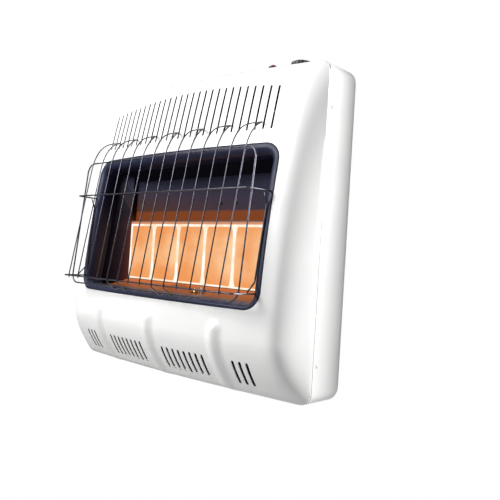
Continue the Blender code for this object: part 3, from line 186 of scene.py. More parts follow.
def surface(name, grid, close_rows=False, close_columns=False, outward=None):
    """A grid of points, rows by columns by three, as a surface with merged poles.

    Its faces look outwards or, on an open sheet, in the direction given.
    """
    rows, columns = grid.shape[:2]
    made = mesh_from_arrays(name, grid.reshape(-1, 3), grid_quads(rows, columns, close_rows, close_columns))
    bm = bmesh.new()
    bm.from_mesh(made.data)
    bmesh.ops.remove_doubles(bm, verts=bm.verts, dist=1e-6)
    bmesh.ops.dissolve_degenerate(bm, edges=bm.edges, dist=1e-7)
    bmesh.ops.recalc_face_normals(bm, faces=bm.faces)
    bm.to_mesh(made.data)
    bm.free()
    made.data.update()
    if outward and sum(p.area * p.normal.dot(outward) for p in made.data.polygons) < 0:
        made.data.flip_normals()
    return made


print("a 3 by 4 grid has", len(grid_quads(3, 4)), "faces")


# %% Thickness, cuts and finishing
sharp_from = math.radians(32)


def thicken(thing, thickness, *two_sides):
    """Gives a surface its wall behind its faces; two finishes, if given, go outside and inside."""
    for finish in two_sides:
        thing.data.materials.append(finishes[finish])
    wall = thing.modifiers.new("wall", "SOLIDIFY")
    wall.thickness = thickness
    wall.offset = -1
    wall.use_even_offset = True
    wall.material_offset = wall.material_offset_rim = len(two_sides) // 2


def cut(thing, tool):
    """Takes one closed shape away from another."""
    tool.hide_render = tool.hide_viewport = True
    take = thing.modifiers.new(tool.name, "BOOLEAN")
    take.operation = "DIFFERENCE"
    take.solver = "EXACT"
    take.object = tool


def bake_shape(thing):
    """Applies the modifiers, removes the shapes that cut it and shades it smooth up to the sharp angle."""
    bpy.context.view_layer.update()
    tools = [m.object for m in thing.modifiers if m.type == "BOOLEAN"]
    for tool in tools:
        tool.hide_viewport = False
    bpy.context.view_layer.update()
    solved = thing.evaluated_get(bpy.context.evaluated_depsgraph_get())
    mesh = bpy.data.meshes.new_from_object(solved)
    mesh.name = thing.name
    thing.modifiers.clear()
    thing.data = mesh
    for tool in tools:
        bpy.data.objects.remove(tool, do_unlink=True)
    mesh.shade_smooth()
    mesh.set_sharp_from_angle(angle=sharp_from)


def dress(thing, slot, *nodes, body="case", finish=None):
    """Bakes a new piece, gives it its finish (named by the slot unless another is given), attaches it to its
    body and hides the parts of the model it stands for.
    """
    if thing.modifiers:
        bake_shape(thing)
    if not thing.data.materials:
        thing.data.materials.append(finishes[finish or slot])
    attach(thing, body)
    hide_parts(*nodes)
    print(thing.name, "has", len(thing.data.polygons), "faces")


print("edges stay sharp from", round(math.degrees(sharp_from)), "degrees")


# %% Upright prisms
def built(name, bm):
    """Turns a finished bmesh into an object."""
    mesh = bpy.data.meshes.new(name)
    bm.to_mesh(mesh)
    bm.free()
    return add_object(name, mesh)


def carry(bm, grown, vec):
    """Moves what an extrusion has grown."""
    bmesh.ops.translate(bm, vec=vec, verts=[part for part in grown if isinstance(part, bmesh.types.BMVert)])


def prism(name, outlines, front, back):
    """Closed upright outlines of (x, height), each carried from one depth to another and capped."""
    bm = bmesh.new()
    for outline in outlines:
        face = bm.faces.new([bm.verts.new(p) for p in place(outline[:, 0], front, outline[:, 1])])
        carry(bm, bmesh.ops.extrude_face_region(bm, geom=[face])["geom"], (0, front - back, 0))
    bmesh.ops.recalc_face_normals(bm, faces=bm.faces)
    return built(name, bm)


# %% [markdown]
# ## Shader groups
#
# Some effects turn up in many finishes. Each is built once as a node group with named inputs and
# outputs, and every finish sets its own values. All of them read the object's own coordinates, so
# they keep their scale in metres wherever they are used.

# %% Node helpers
def feed(target, value):
    """Leads an output into an input, or sets the input to a number or a colour."""
    if hasattr(value, "id_data"):
        value.id_data.links.new(value, target)
    else:
        target.default_value = (*value, 1) if isinstance(value, tuple) else value


def set_up(node, **values):
    """Sets a node's properties, or feeds its inputs where the name is that of a socket."""
    for key, value in values.items():
        if hasattr(node, key):
            setattr(node, key, value)
        else:
            feed(node.inputs[key.replace("_", " ")], value)
    return node


def new_node(tree, kind, **values):
    """Adds a node and sets it up."""
    return set_up(tree.nodes.new(kind), **values)


def new_group(name, inputs, outputs):
    """An empty group with its inputs and outputs, all plain numbers, and its two ends."""
    tree = bpy.data.node_groups.new(name, "ShaderNodeTree")
    for label, value in inputs.items():
        tree.interface.new_socket(label, in_out="INPUT", socket_type="NodeSocketFloat").default_value = value
    for label in outputs:
        tree.interface.new_socket(label, in_out="OUTPUT", socket_type="NodeSocketFloat")
    return tree, tree.nodes.new("NodeGroupInput").outputs, tree.nodes.new("NodeGroupOutput")


# %% [markdown]
# The steps that turn up in every finish get a function each, so that a finish reads like a sum. An
# output knows the nodes it belongs to, so only the values have to be given.

# %% Steps of a shader
def maths(operation, first, second=0.0, clamp=False):
    """One arithmetic step; either side may be an output or a number."""
    tree = (first if hasattr(first, "id_data") else second).id_data
    made = new_node(tree, "ShaderNodeMath", operation=operation, use_clamp=clamp)
    for target, value in zip(made.inputs, (first, second)):
        feed(target, value)
    return made.outputs[0]


def ramp(factor, low, high, start=0.0, end=1.0):
    """Start below low, end above high, and an even change between; low may lie above high."""
    return new_node(factor.id_data, "ShaderNodeMapRange", clamp=True, Value=factor, From_Min=low,
                    From_Max=high, To_Min=start, To_Max=end).outputs["Result"]


def noise(vector, scale, detail):
    """Cloudy noise of the given scale per metre on a vector."""
    made = new_node(vector.id_data, "ShaderNodeTexNoise", Vector=vector, Scale=scale, Detail=detail)
    return made.outputs["Fac"]


def blend(factor, first, second):
    """Mixes two colours, given as outputs or as red, green and blue."""
    made = new_node(factor.id_data, "ShaderNodeMix", data_type="RGBA")
    for position, value in ((0, factor), (6, first), (7, second)):
        feed(made.inputs[position], value)
    return made.outputs[2]


def split(vector):
    """The three parts of a vector."""
    return new_node(vector.id_data, "ShaderNodeSeparateXYZ", Vector=vector).outputs


def object_axes(tree):
    """The object coordinates, whole and split into across, towards the wall and up."""
    coordinates = tree.nodes.new("ShaderNodeTexCoord").outputs["Object"]
    return coordinates, *split(coordinates)


def facing(tree):
    """The three parts of the direction that the surface faces."""
    return split(tree.nodes.new("ShaderNodeNewGeometry").outputs["Normal"])


# %% Mottle: the faint unevenness of a sprayed or rolled surface
mottle_tree, mottle_in, mottle_out = new_group(
    "mottle", {"Fine Scale": 700.0, "Broad Scale": 9.0}, ["Shade", "Height"])
where = object_axes(mottle_tree)[0]
set_up(mottle_out, Shade=noise(where, mottle_in["Broad Scale"], 3.0),
       Height=noise(where, mottle_in["Fine Scale"], 1.0))

# %% Grain: fine scratches drawn out along one axis, as rolled sheet and turned metal have
grain_tree, grain_in, grain_out = new_group(
    "drawn_grain", {"Across X": 1.0, "Across Y": 1.0, "Across Z": 1.0, "Scale": 300.0}, ["Streak"])
stretch = new_node(grain_tree, "ShaderNodeCombineXYZ", **{axis: grain_in["Across " + axis] for axis in "XYZ"})
drawn = new_node(grain_tree, "ShaderNodeVectorMath", operation="MULTIPLY")
feed(drawn.inputs[0], object_axes(grain_tree)[0])
feed(drawn.inputs[1], stretch.outputs[0])
set_up(grain_out, Streak=noise(drawn.outputs[0], grain_in["Scale"], 4.0))

# %% Firelight: a mask for painted firelight, 1 beside the burner and fading with the distance from it
burner_front, burner_low, burner_high, burner_half = 0.0982, 0.1945, 0.323, 0.2175
fire_tree, fire_in, fire_out = new_group("firelight", {"Reach": 0.05}, ["Mask"])
_, across, inward, up = object_axes(fire_tree)
squares = 0.0
for first, second in ((maths("ABSOLUTE", across), burner_half), (up, burner_high - hang),
                      (burner_low - hang, up), (-burner_front, inward)):
    outside = maths("MAXIMUM", maths("SUBTRACT", first, second), 0.0)
    squares = maths("ADD", maths("MULTIPLY", outside, outside), squares)
faded = maths("DIVIDE", maths("SQRT", squares), fire_in["Reach"])
set_up(fire_out, Mask=maths("EXPONENT", maths("MULTIPLY", faded, -1.0)))

# %% Settled dust: a mask on faces that look up, broken by noise
dust_tree, dust_in, dust_out = new_group("settled_dust", {"Amount": 0.3}, ["Mask"])
lying = ramp(facing(dust_tree)[2], 0.55, 0.98)
specks = ramp(noise(object_axes(dust_tree)[0], 60.0, 6.0), 0.42, 0.62)
set_up(dust_out, Mask=maths("MULTIPLY", maths("MULTIPLY", lying, specks), dust_in["Amount"]))
print("shader groups:", ", ".join(t.name for t in (mottle_tree, grain_tree, fire_tree, dust_tree)))


# %% [markdown]
# ## Finishes
#
# A finish starts from the Principled shader. Values that are the same all over are set on its own
# sockets; only what changes over the surface comes in through nodes.

# %% Starting a finish
finishes = {}


def new_finish(name, **values):
    """Adds a material to the finishes; gives its nodes and its shader with the constant values set."""
    finishes[name] = bpy.data.materials.new(name)
    finishes[name].use_nodes = True
    tree = finishes[name].node_tree
    return tree, set_up(tree.nodes["Principled BSDF"], **values)


def use_group(tree, group, **values):
    """Places a group in a material with its own values."""
    return new_node(tree, "ShaderNodeGroup", node_tree=group, **values).outputs


def bump(shader, height, strength, depth):
    """Leads a height into the shader's normal, with its depth in metres."""
    made = new_node(shader.id_data, "ShaderNodeBump", Strength=strength, Distance=depth, Height=height)
    set_up(shader, Normal=made.outputs[0])


def painted(name, colour, darker, roughness, fine_scale, depth, coat=0.0, **values):
    """A sprayed or moulded finish: slightly clouded colour, uneven gloss and a fine orange peel."""
    tree, shader = new_finish(name, Coat_Weight=coat, Coat_Roughness=0.08, **values)
    skin = use_group(tree, mottle_tree, Fine_Scale=fine_scale)
    dust = use_group(tree, dust_tree, Amount=0.12)
    clean = blend(ramp(skin["Shade"], 0.35, 0.65), darker, colour)
    set_up(shader, Base_Color=blend(dust["Mask"], clean, (0.55, 0.54, 0.52)),
           Roughness=ramp(skin["Shade"], 0.0, 1.0, roughness * 0.85, roughness * 1.15))
    bump(shader, skin["Height"], 0.25, depth)


def bare_metal(name, colour, darker, roughness, across, scale, metallic=1.0, glow=0.0, reach=0.05):
    """Rolled, drawn or cast metal: streaked colour and gloss; with a glow, the fire's light is painted on
    near the burner as orange emission.
    """
    tree, shader = new_finish(name, Metallic=metallic)
    streak = use_group(tree, grain_tree, Across_X=across[0], Across_Y=across[1], Across_Z=across[2],
                       Scale=scale)["Streak"]
    set_up(shader, Base_Color=blend(ramp(streak, 0.3, 0.7), darker, colour),
           Roughness=ramp(streak, 0.2, 0.8, roughness * 0.75, roughness * 1.25))
    bump(shader, streak, 0.2, 0.0001)
    # Painted firelight: orange emission that fades with the distance from the burner.
    if glow:
        painted_firelight_mask = use_group(tree, fire_tree, Reach=reach)["Mask"]
        set_up(shader, Emission_Strength=glow, Emission_Color=blend(painted_firelight_mask, (0, 0, 0), (0.80, 0.17, 0.02)))


# %% Enamels, metals and plastics
painted("white_enamel", (0.90, 0.90, 0.89), (0.87, 0.87, 0.865), 0.36, 500.0, 0.00006, 0.15)
painted("navy_enamel", (0.016, 0.020, 0.060), (0.011, 0.014, 0.046), 0.50, 900.0, 0.00004,
        Specular_IOR_Level=0.35)
painted("dark_plastic", (0.040, 0.041, 0.045), (0.030, 0.031, 0.034), 0.42, 2600.0, 0.00006)
painted("black_plastic", (0.014, 0.014, 0.015), (0.010, 0.010, 0.011), 0.35, 2600.0, 0.00004)
painted("red_plastic", (0.60, 0.030, 0.020), (0.50, 0.022, 0.016), 0.22, 1800.0, 0.00002, 0.4)
painted("white_porcelain", (0.82, 0.81, 0.77), (0.76, 0.74, 0.69), 0.22, 900.0, 0.00002, 0.6)
painted("orange_sleeve", (0.30, 0.095, 0.030), (0.23, 0.072, 0.024), 0.55, 3000.0, 0.00005)
painted("gasket_fibre", (0.72, 0.71, 0.66), (0.58, 0.56, 0.51), 0.90, 2200.0, 0.0003)
bare_metal("black_wire", (0.12, 0.12, 0.145), (0.08, 0.08, 0.10), 0.30, (1, 1, 0.1), 900.0)
# Galvanised steel is almost black here: painted shade for the insides of the cover and casing, their rims and
# the louvres' walls.
bare_metal("galvanised", (0.020, 0.020, 0.021), (0.012, 0.012, 0.013), 0.55, (1, 1, 1), 60.0)
bare_metal("zinc_steel", (0.56, 0.57, 0.58), (0.44, 0.45, 0.47), 0.34, (0.06, 1, 1), 600.0)
# Hot steel has the fire's light painted on as an orange glow.
bare_metal("hot_steel", (0.045, 0.020, 0.010), (0.028, 0.012, 0.006), 0.55, (0.05, 1, 1), 500.0,
           metallic=0.1, glow=0.70, reach=0.036)
bare_metal("cast_aluminium", (0.60, 0.61, 0.62), (0.46, 0.47, 0.48), 0.50, (1, 1, 1), 450.0)
bare_metal("brass", (0.74, 0.54, 0.22), (0.62, 0.43, 0.16), 0.30, (1, 1, 0.06), 700.0)
bare_metal("copper_tube", (0.72, 0.40, 0.26), (0.58, 0.29, 0.18), 0.32, (1, 1, 0.1), 500.0)
print("painted and metal finishes:", len(finishes))


# %% [markdown]
# ### Firebox steel
#
# The plates round the fire are dark slate, and the fire's light on them is painted on. On the back
# plate height drives the painted steps: a narrow orange strip just above the burner and a broad brown
# band that fades upwards and to the right. The side walls take painted light from their distance to
# the burner, and they are a much darker slate, which is painted shade.

# %% Firebox steel: dark slate above, with painted firelight turning it brown and then orange in steps towards the burner
tree, shader = new_finish("grey_steel", Roughness=0.6, Specular_IOR_Level=0.06, Emission_Strength=1.0)
_, across, _, up = object_axes(tree)
grain = use_group(tree, grain_tree, Across_X=0.04, Scale=700.0)["Streak"]
streak = ramp(grain, 0.3, 0.7)
slate = blend(streak, (0.023, 0.024, 0.046), (0.034, 0.035, 0.064))
# The side walls are a much darker copy of the slate: painted shade.
sides = blend(streak, (0.006, 0.006, 0.012), (0.010, 0.010, 0.019))
# Painted firelight: a strip just above the burner and a broad band that fades upwards and to the right, brown
# in the base colour and orange in the emission.
over_burner = ramp(up, 0.322 - hang, 0.326 - hang)
painted_firelight_strip = maths("MULTIPLY", ramp(up, 0.3570 - hang, 0.3530 - hang), over_burner)
painted_firelight_band = maths("MULTIPLY", ramp(up, 0.410 - hang, 0.352 - hang), over_burner)
painted_firelight_band = maths("MULTIPLY", painted_firelight_band, ramp(across, 0.34, -0.20))
back = blend(maths("MAXIMUM", painted_firelight_strip, painted_firelight_band), slate, (0.022, 0.008, 0.005))
painted_band_light = blend(painted_firelight_band, (0, 0, 0), (0.058, 0.022, 0.012))
painted_back_light = blend(painted_firelight_strip, painted_band_light, (0.18, 0.040, 0.006))
# The side walls take painted firelight that fades with their distance from the burner.
painted_wall_light = blend(use_group(tree, fire_tree, Reach=0.012)["Mask"], (0, 0, 0), (0.11, 0.022, 0.004))
is_back = ramp(facing(tree)[1], -0.90, -0.97)
set_up(shader, Base_Color=blend(is_back, sides, back), Emission_Color=blend(is_back, painted_wall_light, painted_back_light))
bump(shader, grain, 0.2, 0.0001)
print("the firebox steel uses", len(tree.nodes), "nodes")

# %% [markdown]
# ### Glowing ceramic
#
# The plaques are yellow-orange where the flame is strongest, paler beside each bar, and deeper
# towards their lower edge. The mouths of their holes are deeper orange, and a slow cloud of noise
# keeps any two plaques from looking alike. The bars between them have the fire's reflection
# painted on as an almost white glow, with painted orange light on their top flange.

# %% Plaque and retainer finishes
plaque_pitch, hole_depth = 0.087, 0.0011

tree, shader = new_finish("hot_ceramic", Roughness=0.85, Emission_Strength=1.0)
where, across, inward, up = object_axes(tree)
share = maths("FRACT", maths("ADD", maths("DIVIDE", across, plaque_pitch), 2.5))
cloud = ramp(noise(where, 18.0, 3.0), 0.40, 0.66)
top, foot = burner_high - hang + 0.002, burner_low - hang + 0.002
paler = 0.0
for mask, weight in ((ramp(share, 0.45, 1.02), 0.75), (ramp(share, 0.16, -0.02), 0.30),
                     (ramp(across, -0.10, 0.22), 0.22), (cloud, 0.45)):
    paler = maths("ADD", maths("MULTIPLY", mask, weight), paler)
whole = maths("MULTIPLY", ramp(up, top, top - 0.032), ramp(up, foot, foot + 0.043))
face = blend(maths("MULTIPLY", paler, whole, True), (0.83, 0.29, 0.062), (0.96, 0.62, 0.33))
hole = ramp(inward, 0.00005 - burner_front, hole_depth * 0.8 - burner_front)
set_up(shader, Emission_Color=blend(hole, face, (0.58, 0.105, 0.010)),
       Base_Color=blend(cloud, (0.05, 0.035, 0.025), (0.07, 0.05, 0.035)))

# The retainer is no lamp: its almost white glow is the fire's reflection, painted on as emission, with
# painted orange light on the flange and a dim top edge.
tree, shader = new_finish("white_hot", Roughness=0.6, Emission_Strength=1.0)
where, _, _, up = object_axes(tree)
cloud = ramp(noise(where, 45.0, 4.0), 0.38, 0.62)
painted_bar_reflection = blend(cloud, (0.92, 0.72, 0.50), (0.99, 0.95, 0.88))
top = burner_high - hang
painted_flange_light = blend(ramp(up, top + 0.0010, top + 0.0022), painted_bar_reflection, (0.56, 0.16, 0.030))
edge = ramp(up, top + 0.0062, top + 0.0068)
set_up(shader, Emission_Color=blend(edge, painted_flange_light, (0.05, 0.012, 0.004)),
       Base_Color=blend(cloud, (0.07, 0.06, 0.05), (0.10, 0.09, 0.08)))
print("the plaques glow over", round((burner_high - burner_low) * 1000, 1), "mm of height")

# %% Finish every part that stays as the model has it
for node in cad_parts.values():
    for position, old in enumerate(node.data.materials):
        node.material_slots[position].material = finishes[old.name.split(".")[0]]
print(len(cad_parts), "parts have a finish out of", len(finishes))

# %% [markdown]
# ## The case
#
# The front leans back towards the top, bows outwards across and tucks in under the chin. Near the
# edges it falls away on a curve between a circle and a square, which gives pressed steel its even
# rounding. Three flutes run down the chin.

# %% Sizes of the case
half_width = 0.34925
body_height = 0.633
casing_depth = 0.105
seam_gap = 0.0004
cover_sheet = 0.0015
sheet = 0.0012
arch_rise = 0.012
upper_corner, lower_corner, back_edge = 0.018, 0.022, 0.028
chin_depth, chin_height, top_lean, lean_power = 0.176, 0.107, 0.073, 1.75
chin_tuck, tuck_power, front_bow = 0.061, 1.6, 0.031
side_round, side_power, top_round, bottom_round, edge_power = 0.060, 3.5, 0.022, 0.014, 2.3
rim_skirt, least_rise = 0.003, 0.004
rim_depth = casing_depth + seam_gap + rim_skirt
flute_spacing, flute_width, flute_height, flute_top, flute_end = 0.186, 0.044, 0.0085, 0.143, -0.040
print("the case is", round(half_width * 2000, 1), "mm wide and", round(body_height * 1000, 1), "mm high")


# %% Shape of the front
def falloff(share):
    """(1 - share^p)^(1/p): 1 on the open face, 0 at the rim."""
    return (1 - np.clip(share, 0, 1) ** edge_power) ** (1 / edge_power)


def top_edge(x):
    """A shallow parabola with a quarter circle at each corner."""
    past = np.maximum(np.abs(x) - (half_width - upper_corner), 0)
    arch = body_height - arch_rise * (x / half_width) ** 2
    return arch - upper_corner + np.sqrt(np.maximum(upper_corner ** 2 - past ** 2, 0))


def bottom_edge(x):
    """Level, with a quarter circle at each corner."""
    past = np.maximum(np.abs(x) - (half_width - lower_corner), 0)
    return lower_corner - np.sqrt(np.maximum(lower_corner ** 2 - past ** 2, 0))


def flute(x, z):
    """cos^2 of the distance from a line down the chin; a quarter sine lowers its foot."""
    nearest = np.min([np.abs(x - at) for at in (-flute_spacing, 0, flute_spacing)], axis=0)
    distance = np.hypot(nearest, np.maximum(z - flute_top + flute_width / 2, 0))
    ridge = np.where(distance < flute_width / 2, np.cos(np.pi * distance / flute_width) ** 2, 0)
    fade = np.clip((z - flute_end) / (chin_height - flute_end), 0, 1)
    return flute_height * ridge * np.sin(fade * np.pi / 2)


def face_depth(x, z):
    """Chin depth, less a power of the height above or below the chin, plus a parabola across."""
    above = np.maximum(z - chin_height, 0) / (body_height - chin_height)
    below = np.maximum(chin_height - z, 0) / chin_height
    plain = chin_depth - top_lean * above ** lean_power - chin_tuck * below ** tuck_power
    over = plain + front_bow * (1 - (x / half_width) ** 2) - rim_depth - least_rise
    return rim_depth + least_rise + (over + np.sqrt(over ** 2 + (2 * least_rise) ** 2)) / 2


def cover_depth(x, z):
    """Face and flutes above the rim, times 1 - share^3.5 to each side and a falloff up and down."""
    side = 1 - np.clip((np.abs(x) - half_width + side_round) / side_round, 0, 1) ** side_power
    upper = falloff((z - top_edge(x) + top_round) / top_round)
    lower = falloff((bottom_edge(x) + bottom_round - z) / bottom_round)
    return rim_depth + (face_depth(x, z) + flute(x, z) - rim_depth) * side * upper * lower


chin_front = float(face_depth(0.0, chin_height))
print("the front stands", round(chin_front * 1000, 1), "mm from the wall at the chin")

# %% Window outline and louvre slots
window_half, window_low, window_high, window_radius = 0.2835, 0.1635, 0.4725, 0.036
corner_steps, side_steps, level_steps = 10, 20, 40


def window_ring(inset):
    """A rounded rectangle: its centre slides along each straight, and its direction turns at each corner.

    The inset may be a column of values; the result then has one row for each of them.
    """
    centres, angles = [], []
    corners = [(1, -1), (1, 1), (-1, 1), (-1, -1)]
    for k, (corner, onward) in enumerate(zip(corners, corners[1:] + corners[:1])):
        steps = side_steps if k % 2 == 0 else level_steps
        angle = math.radians(90 * k - 90)
        turned = quarter(corner_steps + 1)
        centres += [np.tile(corner, (corner_steps + 1, 1)), np.linspace(corner, onward, steps + 1)[1:-1]]
        angles += [angle + turned, np.full(steps - 1, angle + math.pi / 2)]
    centre, angle = np.concatenate(centres), np.concatenate(angles)
    radius = np.maximum(window_radius - inset, 0.004)
    middle = (window_high + window_low) / 2
    x = centre[:, 0] * (window_half - inset - radius) + radius * np.cos(angle)
    z = middle + centre[:, 1] * ((window_high - window_low) / 2 - inset - radius) + radius * np.sin(angle)
    return x, z


def slot_outline(x, low, high, width):
    """A straight slot with half-round ends."""
    angle = np.linspace(0, np.pi, 9)
    radius = width / 2
    upper = np.stack([x + radius * np.cos(angle), high - radius + radius * np.sin(angle)], axis=-1)
    lower = np.stack([x - radius * np.cos(angle), low + radius - radius * np.sin(angle)], axis=-1)
    return np.concatenate([upper, lower])


vent_pitch, vent_width, vent_low, vent_high, vent_drop = 0.0188, 0.0045, 0.4985, 0.6005, 0.017
vent_places = (np.arange(28) - 13.5) * vent_pitch
vent_tops = vent_high - vent_drop * (vent_places / vent_places[-1]) ** 2
vent_outlines = [slot_outline(x, vent_low, high, vent_width) for x, high in zip(vent_places, vent_tops)]
chin_pitch, chin_slot_width, chin_slot_low, chin_slot_high = 0.016, 0.0065, 0.0245, 0.0695
inner_group, outer_group = 0.0367, 0.2237
chin_places = np.concatenate([start + np.arange(count) * chin_pitch
                              for start, count in ((inner_group, 8), (outer_group, 3))])
chin_outlines = [slot_outline(x, chin_slot_low, chin_slot_high, chin_slot_width)
                 for x in (*-chin_places, *chin_places)]
print(len(vent_outlines), "louvres above the window and", len(chin_outlines), "on the chin")

# %% [markdown]
# The cover is one pressed sheet. Its grid has close rows and columns where the edge turns fast and
# wide ones on the open face. The window and the louvres are cut after the sheet has its thickness,
# so that each has real edges.

# %% Press the front cover
skirt_lap, ahead_of_front = 0.0010, 0.30
shares = np.sin(np.pi / 2 * np.arange(1, 11) / 10) ** (2 / edge_power)
plain_edge = half_width - side_round
slope = plain_edge + side_round * np.arange(1, 19) / 18
columns = np.concatenate([-slope[::-1], np.linspace(-plain_edge, plain_edge, 145), slope])
floor_line, ceiling_line = bottom_edge(columns)[:, None], top_edge(columns)[:, None]
lower_rows = floor_line + bottom_round * (1 - shares[::-1])
upper_rows = ceiling_line - top_round * (1 - shares)
flat_shares = np.linspace(0, 1, 121)
flat_rows = (floor_line + bottom_round) * (1 - flat_shares) + (ceiling_line - top_round) * flat_shares
heights = np.concatenate([lower_rows, flat_rows, upper_rows], axis=1)
across = np.broadcast_to(columns[:, None], heights.shape)
grid = place(across, cover_depth(across, heights), heights)
skirt = np.pad(grid, ((1, 1), (1, 1), (0, 0)), mode="edge")
skirt[[0, -1], :, 1] = skirt[:, [0, -1], 1] = -casing_depth - skirt_lap

cover = surface("pressed_cover", skirt, outward=(0, -1, 0))
# Its inside and its rims take the almost black galvanised finish, which is painted shade.
thicken(cover, cover_sheet, "white_enamel", "galvanised")
window_outline = np.stack(window_ring(0.0), axis=-1)
cut(cover, prism("window_opening", [window_outline], ahead_of_front, casing_depth + 0.002))
# The louvres' walls take the galvanised finish from their cutter: painted shade in the slots.
vents = prism("vent_openings", vent_outlines, ahead_of_front, casing_depth)
vents.data.materials.append(finishes["galvanised"])
cut(cover, vents)
cover.modifiers["vent_openings"].material_mode = "TRANSFER"
cut(cover, prism("chin_openings", chin_outlines, ahead_of_front, casing_depth))
dress(cover, "white_enamel", "front_cover")

# %% [markdown]
# The casing behind it is a deep pan: straight sides that round over into a flat back. It is the
# case's outline carried backwards and drawn in along a quarter circle.

# %% Form the rear casing
case_back = 0.0024


def case_outline():
    """The case's outline anticlockwise: lower corners and bottom, then upper corners and the arch."""
    turned = quarter(9)
    low_x = -half_width + lower_corner * (1 - np.cos(turned))
    low_x = np.concatenate([low_x, np.linspace(low_x[-1], -low_x[-1], 25)[1:-1], -low_x[::-1]])
    high_x = half_width - upper_corner * (1 - np.cos(turned))
    high_x = np.concatenate([high_x, np.linspace(high_x[-1], -high_x[-1], 41)[1:-1], -high_x[::-1]])
    side_z = np.linspace(bottom_edge(half_width), top_edge(half_width), 21)[1:-1]
    x = np.concatenate([low_x, np.full(19, half_width), high_x, np.full(19, -half_width)])
    z = np.concatenate([bottom_edge(low_x), side_z, top_edge(high_x), side_z[::-1]])
    return x, z


outline_x, outline_z = case_outline()
turned = quarter(13)
ring_depths = np.concatenate([np.linspace(casing_depth, case_back + back_edge, 6)[:-1],
                              case_back + back_edge * (1 - np.sin(turned))])
ring_insets = np.concatenate([np.zeros(5), back_edge * (1 - np.cos(turned))])
middle = body_height / 2
shrink_x = (1 - ring_insets / half_width)[:, None]
shrink_z = (1 - ring_insets / middle)[:, None]
rings = place(outline_x * shrink_x, ring_depths[:, None], middle + (outline_z - middle) * shrink_z)
casing = surface("deep_casing", rings, close_columns=True)
bm = bmesh.new()
bm.from_mesh(casing.data)
open_edges = [e for e in bm.edges if e.is_boundary and abs(e.verts[0].co.y + case_back) < 1e-5]
bmesh.ops.contextual_create(bm, geom=open_edges)
bmesh.ops.recalc_face_normals(bm, faces=bm.faces)
if max(bm.faces, key=lambda f: f.calc_center_median().y).normal.y < 0:
    bmesh.ops.reverse_faces(bm, faces=bm.faces)
bm.to_mesh(casing.data)
bm.free()
# Its inside and its rims take the galvanised finish, which is painted shade.
thicken(casing, sheet, "white_enamel", "galvanised")
print("the casing's outline has", len(outline_x), "points")

# %% [markdown]
# Round holes let the valve's stem, the igniter and the gas inlet through. Two slots in the back hang
# the heater on its bracket, and five slots below let the air in.

# %% Cut the casing's openings
def rod_shape(name, middle, radius, length):
    """An upright round cutter whose middle is at (x, depth, height)."""
    bm = bmesh.new()
    made = bmesh.ops.create_cone(bm, cap_ends=True, segments=32, radius1=radius, radius2=radius, depth=length)
    bmesh.ops.translate(bm, vec=place(*middle), verts=made["verts"])
    return built(name, bm)


def box_shape(name, spans):
    """Box cutters, each from (x, depth, height) to (x, depth, height)."""
    bm = bmesh.new()
    for low, high in spans:
        low, high = place(*low), place(*high)
        made = bmesh.ops.create_cube(bm, size=1.0)["verts"]
        bmesh.ops.scale(bm, vec=np.abs(high - low), verts=made)
        bmesh.ops.translate(bm, vec=(low + high) / 2, verts=made)
    return built(name, bm)


control_depth, button_depth, knob_across, button_across = 0.072, 0.094, 0.2555, 0.2022
inlet_across, inlet_depth = 0.300, 0.058
for name, middle, radius, length in (
        ("stem_hole", (knob_across, control_depth, body_height), 0.0085, 0.06),
        ("igniter_hole", (button_across, button_depth, body_height), 0.0074, 0.06),
        ("inlet_hole", (inlet_across, inlet_depth, 0), 0.0125, 0.02)):
    cut(casing, rod_shape(name, middle, radius, length))
hook_across, hook_half, hook_low, hook_high = 0.14, 0.015, 0.5056, 0.5204
cut(casing, box_shape("hook_slots", [
    ((x - hook_half, case_back + 0.01, hook_low), (x + hook_half, -0.01, hook_high))
    for x in (-hook_across, hook_across)]))
intake_places = -0.044 + 0.0875 * np.arange(-2, 3)
intake_half, intake_back, intake_front = 0.035, 0.0656, 0.0756
cut(casing, box_shape("intake_slots", [
    ((x - intake_half, intake_front, -0.01), (x + intake_half, intake_back, 0.01)) for x in intake_places]))
dress(casing, "white_enamel", "rear_casing")

# %% [markdown]
# ## The window trim
#
# A dark roll of enamelled steel lines the window. Its cross-section is carried round the window:
# a small rounded shoulder, a flat, a long convex fall into the opening and a deep lip behind.

# %% Roll the trim
trim_width, roll_start, roll_fall, fall_power = 0.022, 0.30, 0.0150, 2.2
set_down, set_down_reach = 0.0090, 0.09
lip_foot, lip_lean = 0.148, 0.038


def lower_inner(z, inset):
    """The roll is narrower along the bottom: its inner part is set down, less and less up the sides."""
    near = np.clip(1 - (z - window_low - inset) / set_down_reach, 0, 1) ** 2
    return z - set_down * np.clip(inset / trim_width, 0, 1) * near


def lip_depth(z):
    """The lip ends on a plane that leans back with the height."""
    return lip_foot - lip_lean * (z - window_low - trim_width) / (window_high - window_low - 2 * trim_width)


flush = cover_sheet + seam_gap * 1.5
shoulder = quarter(6)
shoulder_inset, shoulder_width = 0.0012, 0.0016
roll_inset = np.linspace(roll_start, 1.0, 15)
fall = roll_fall * ((roll_inset - roll_start) / (1 - roll_start)) ** fall_power
shoulder_insets = shoulder_inset + shoulder_width * (1 - np.cos(shoulder))
section_inset = np.concatenate([[-0.006, shoulder_inset], shoulder_insets, roll_inset * trim_width])
section_back = np.concatenate([[flush, flush], flush * (1 - np.sin(shoulder)), fall])
ring_x, ring_z = window_ring(section_inset[:, None])
ring_z = lower_inner(ring_z, section_inset[:, None])
roll_rings = place(ring_x, face_depth(ring_x, ring_z) - section_back[:, None], ring_z)
inner_x, inner_z = window_ring(np.full((1, 1), trim_width))
inner_z = lower_inner(inner_z, trim_width)
lip_shares = np.linspace(0, 1, 9)[1:, None]
roll_foot = face_depth(inner_x, inner_z) - roll_fall
lip_rings = place(inner_x, roll_foot + (lip_depth(inner_z) - roll_foot) * lip_shares, inner_z)
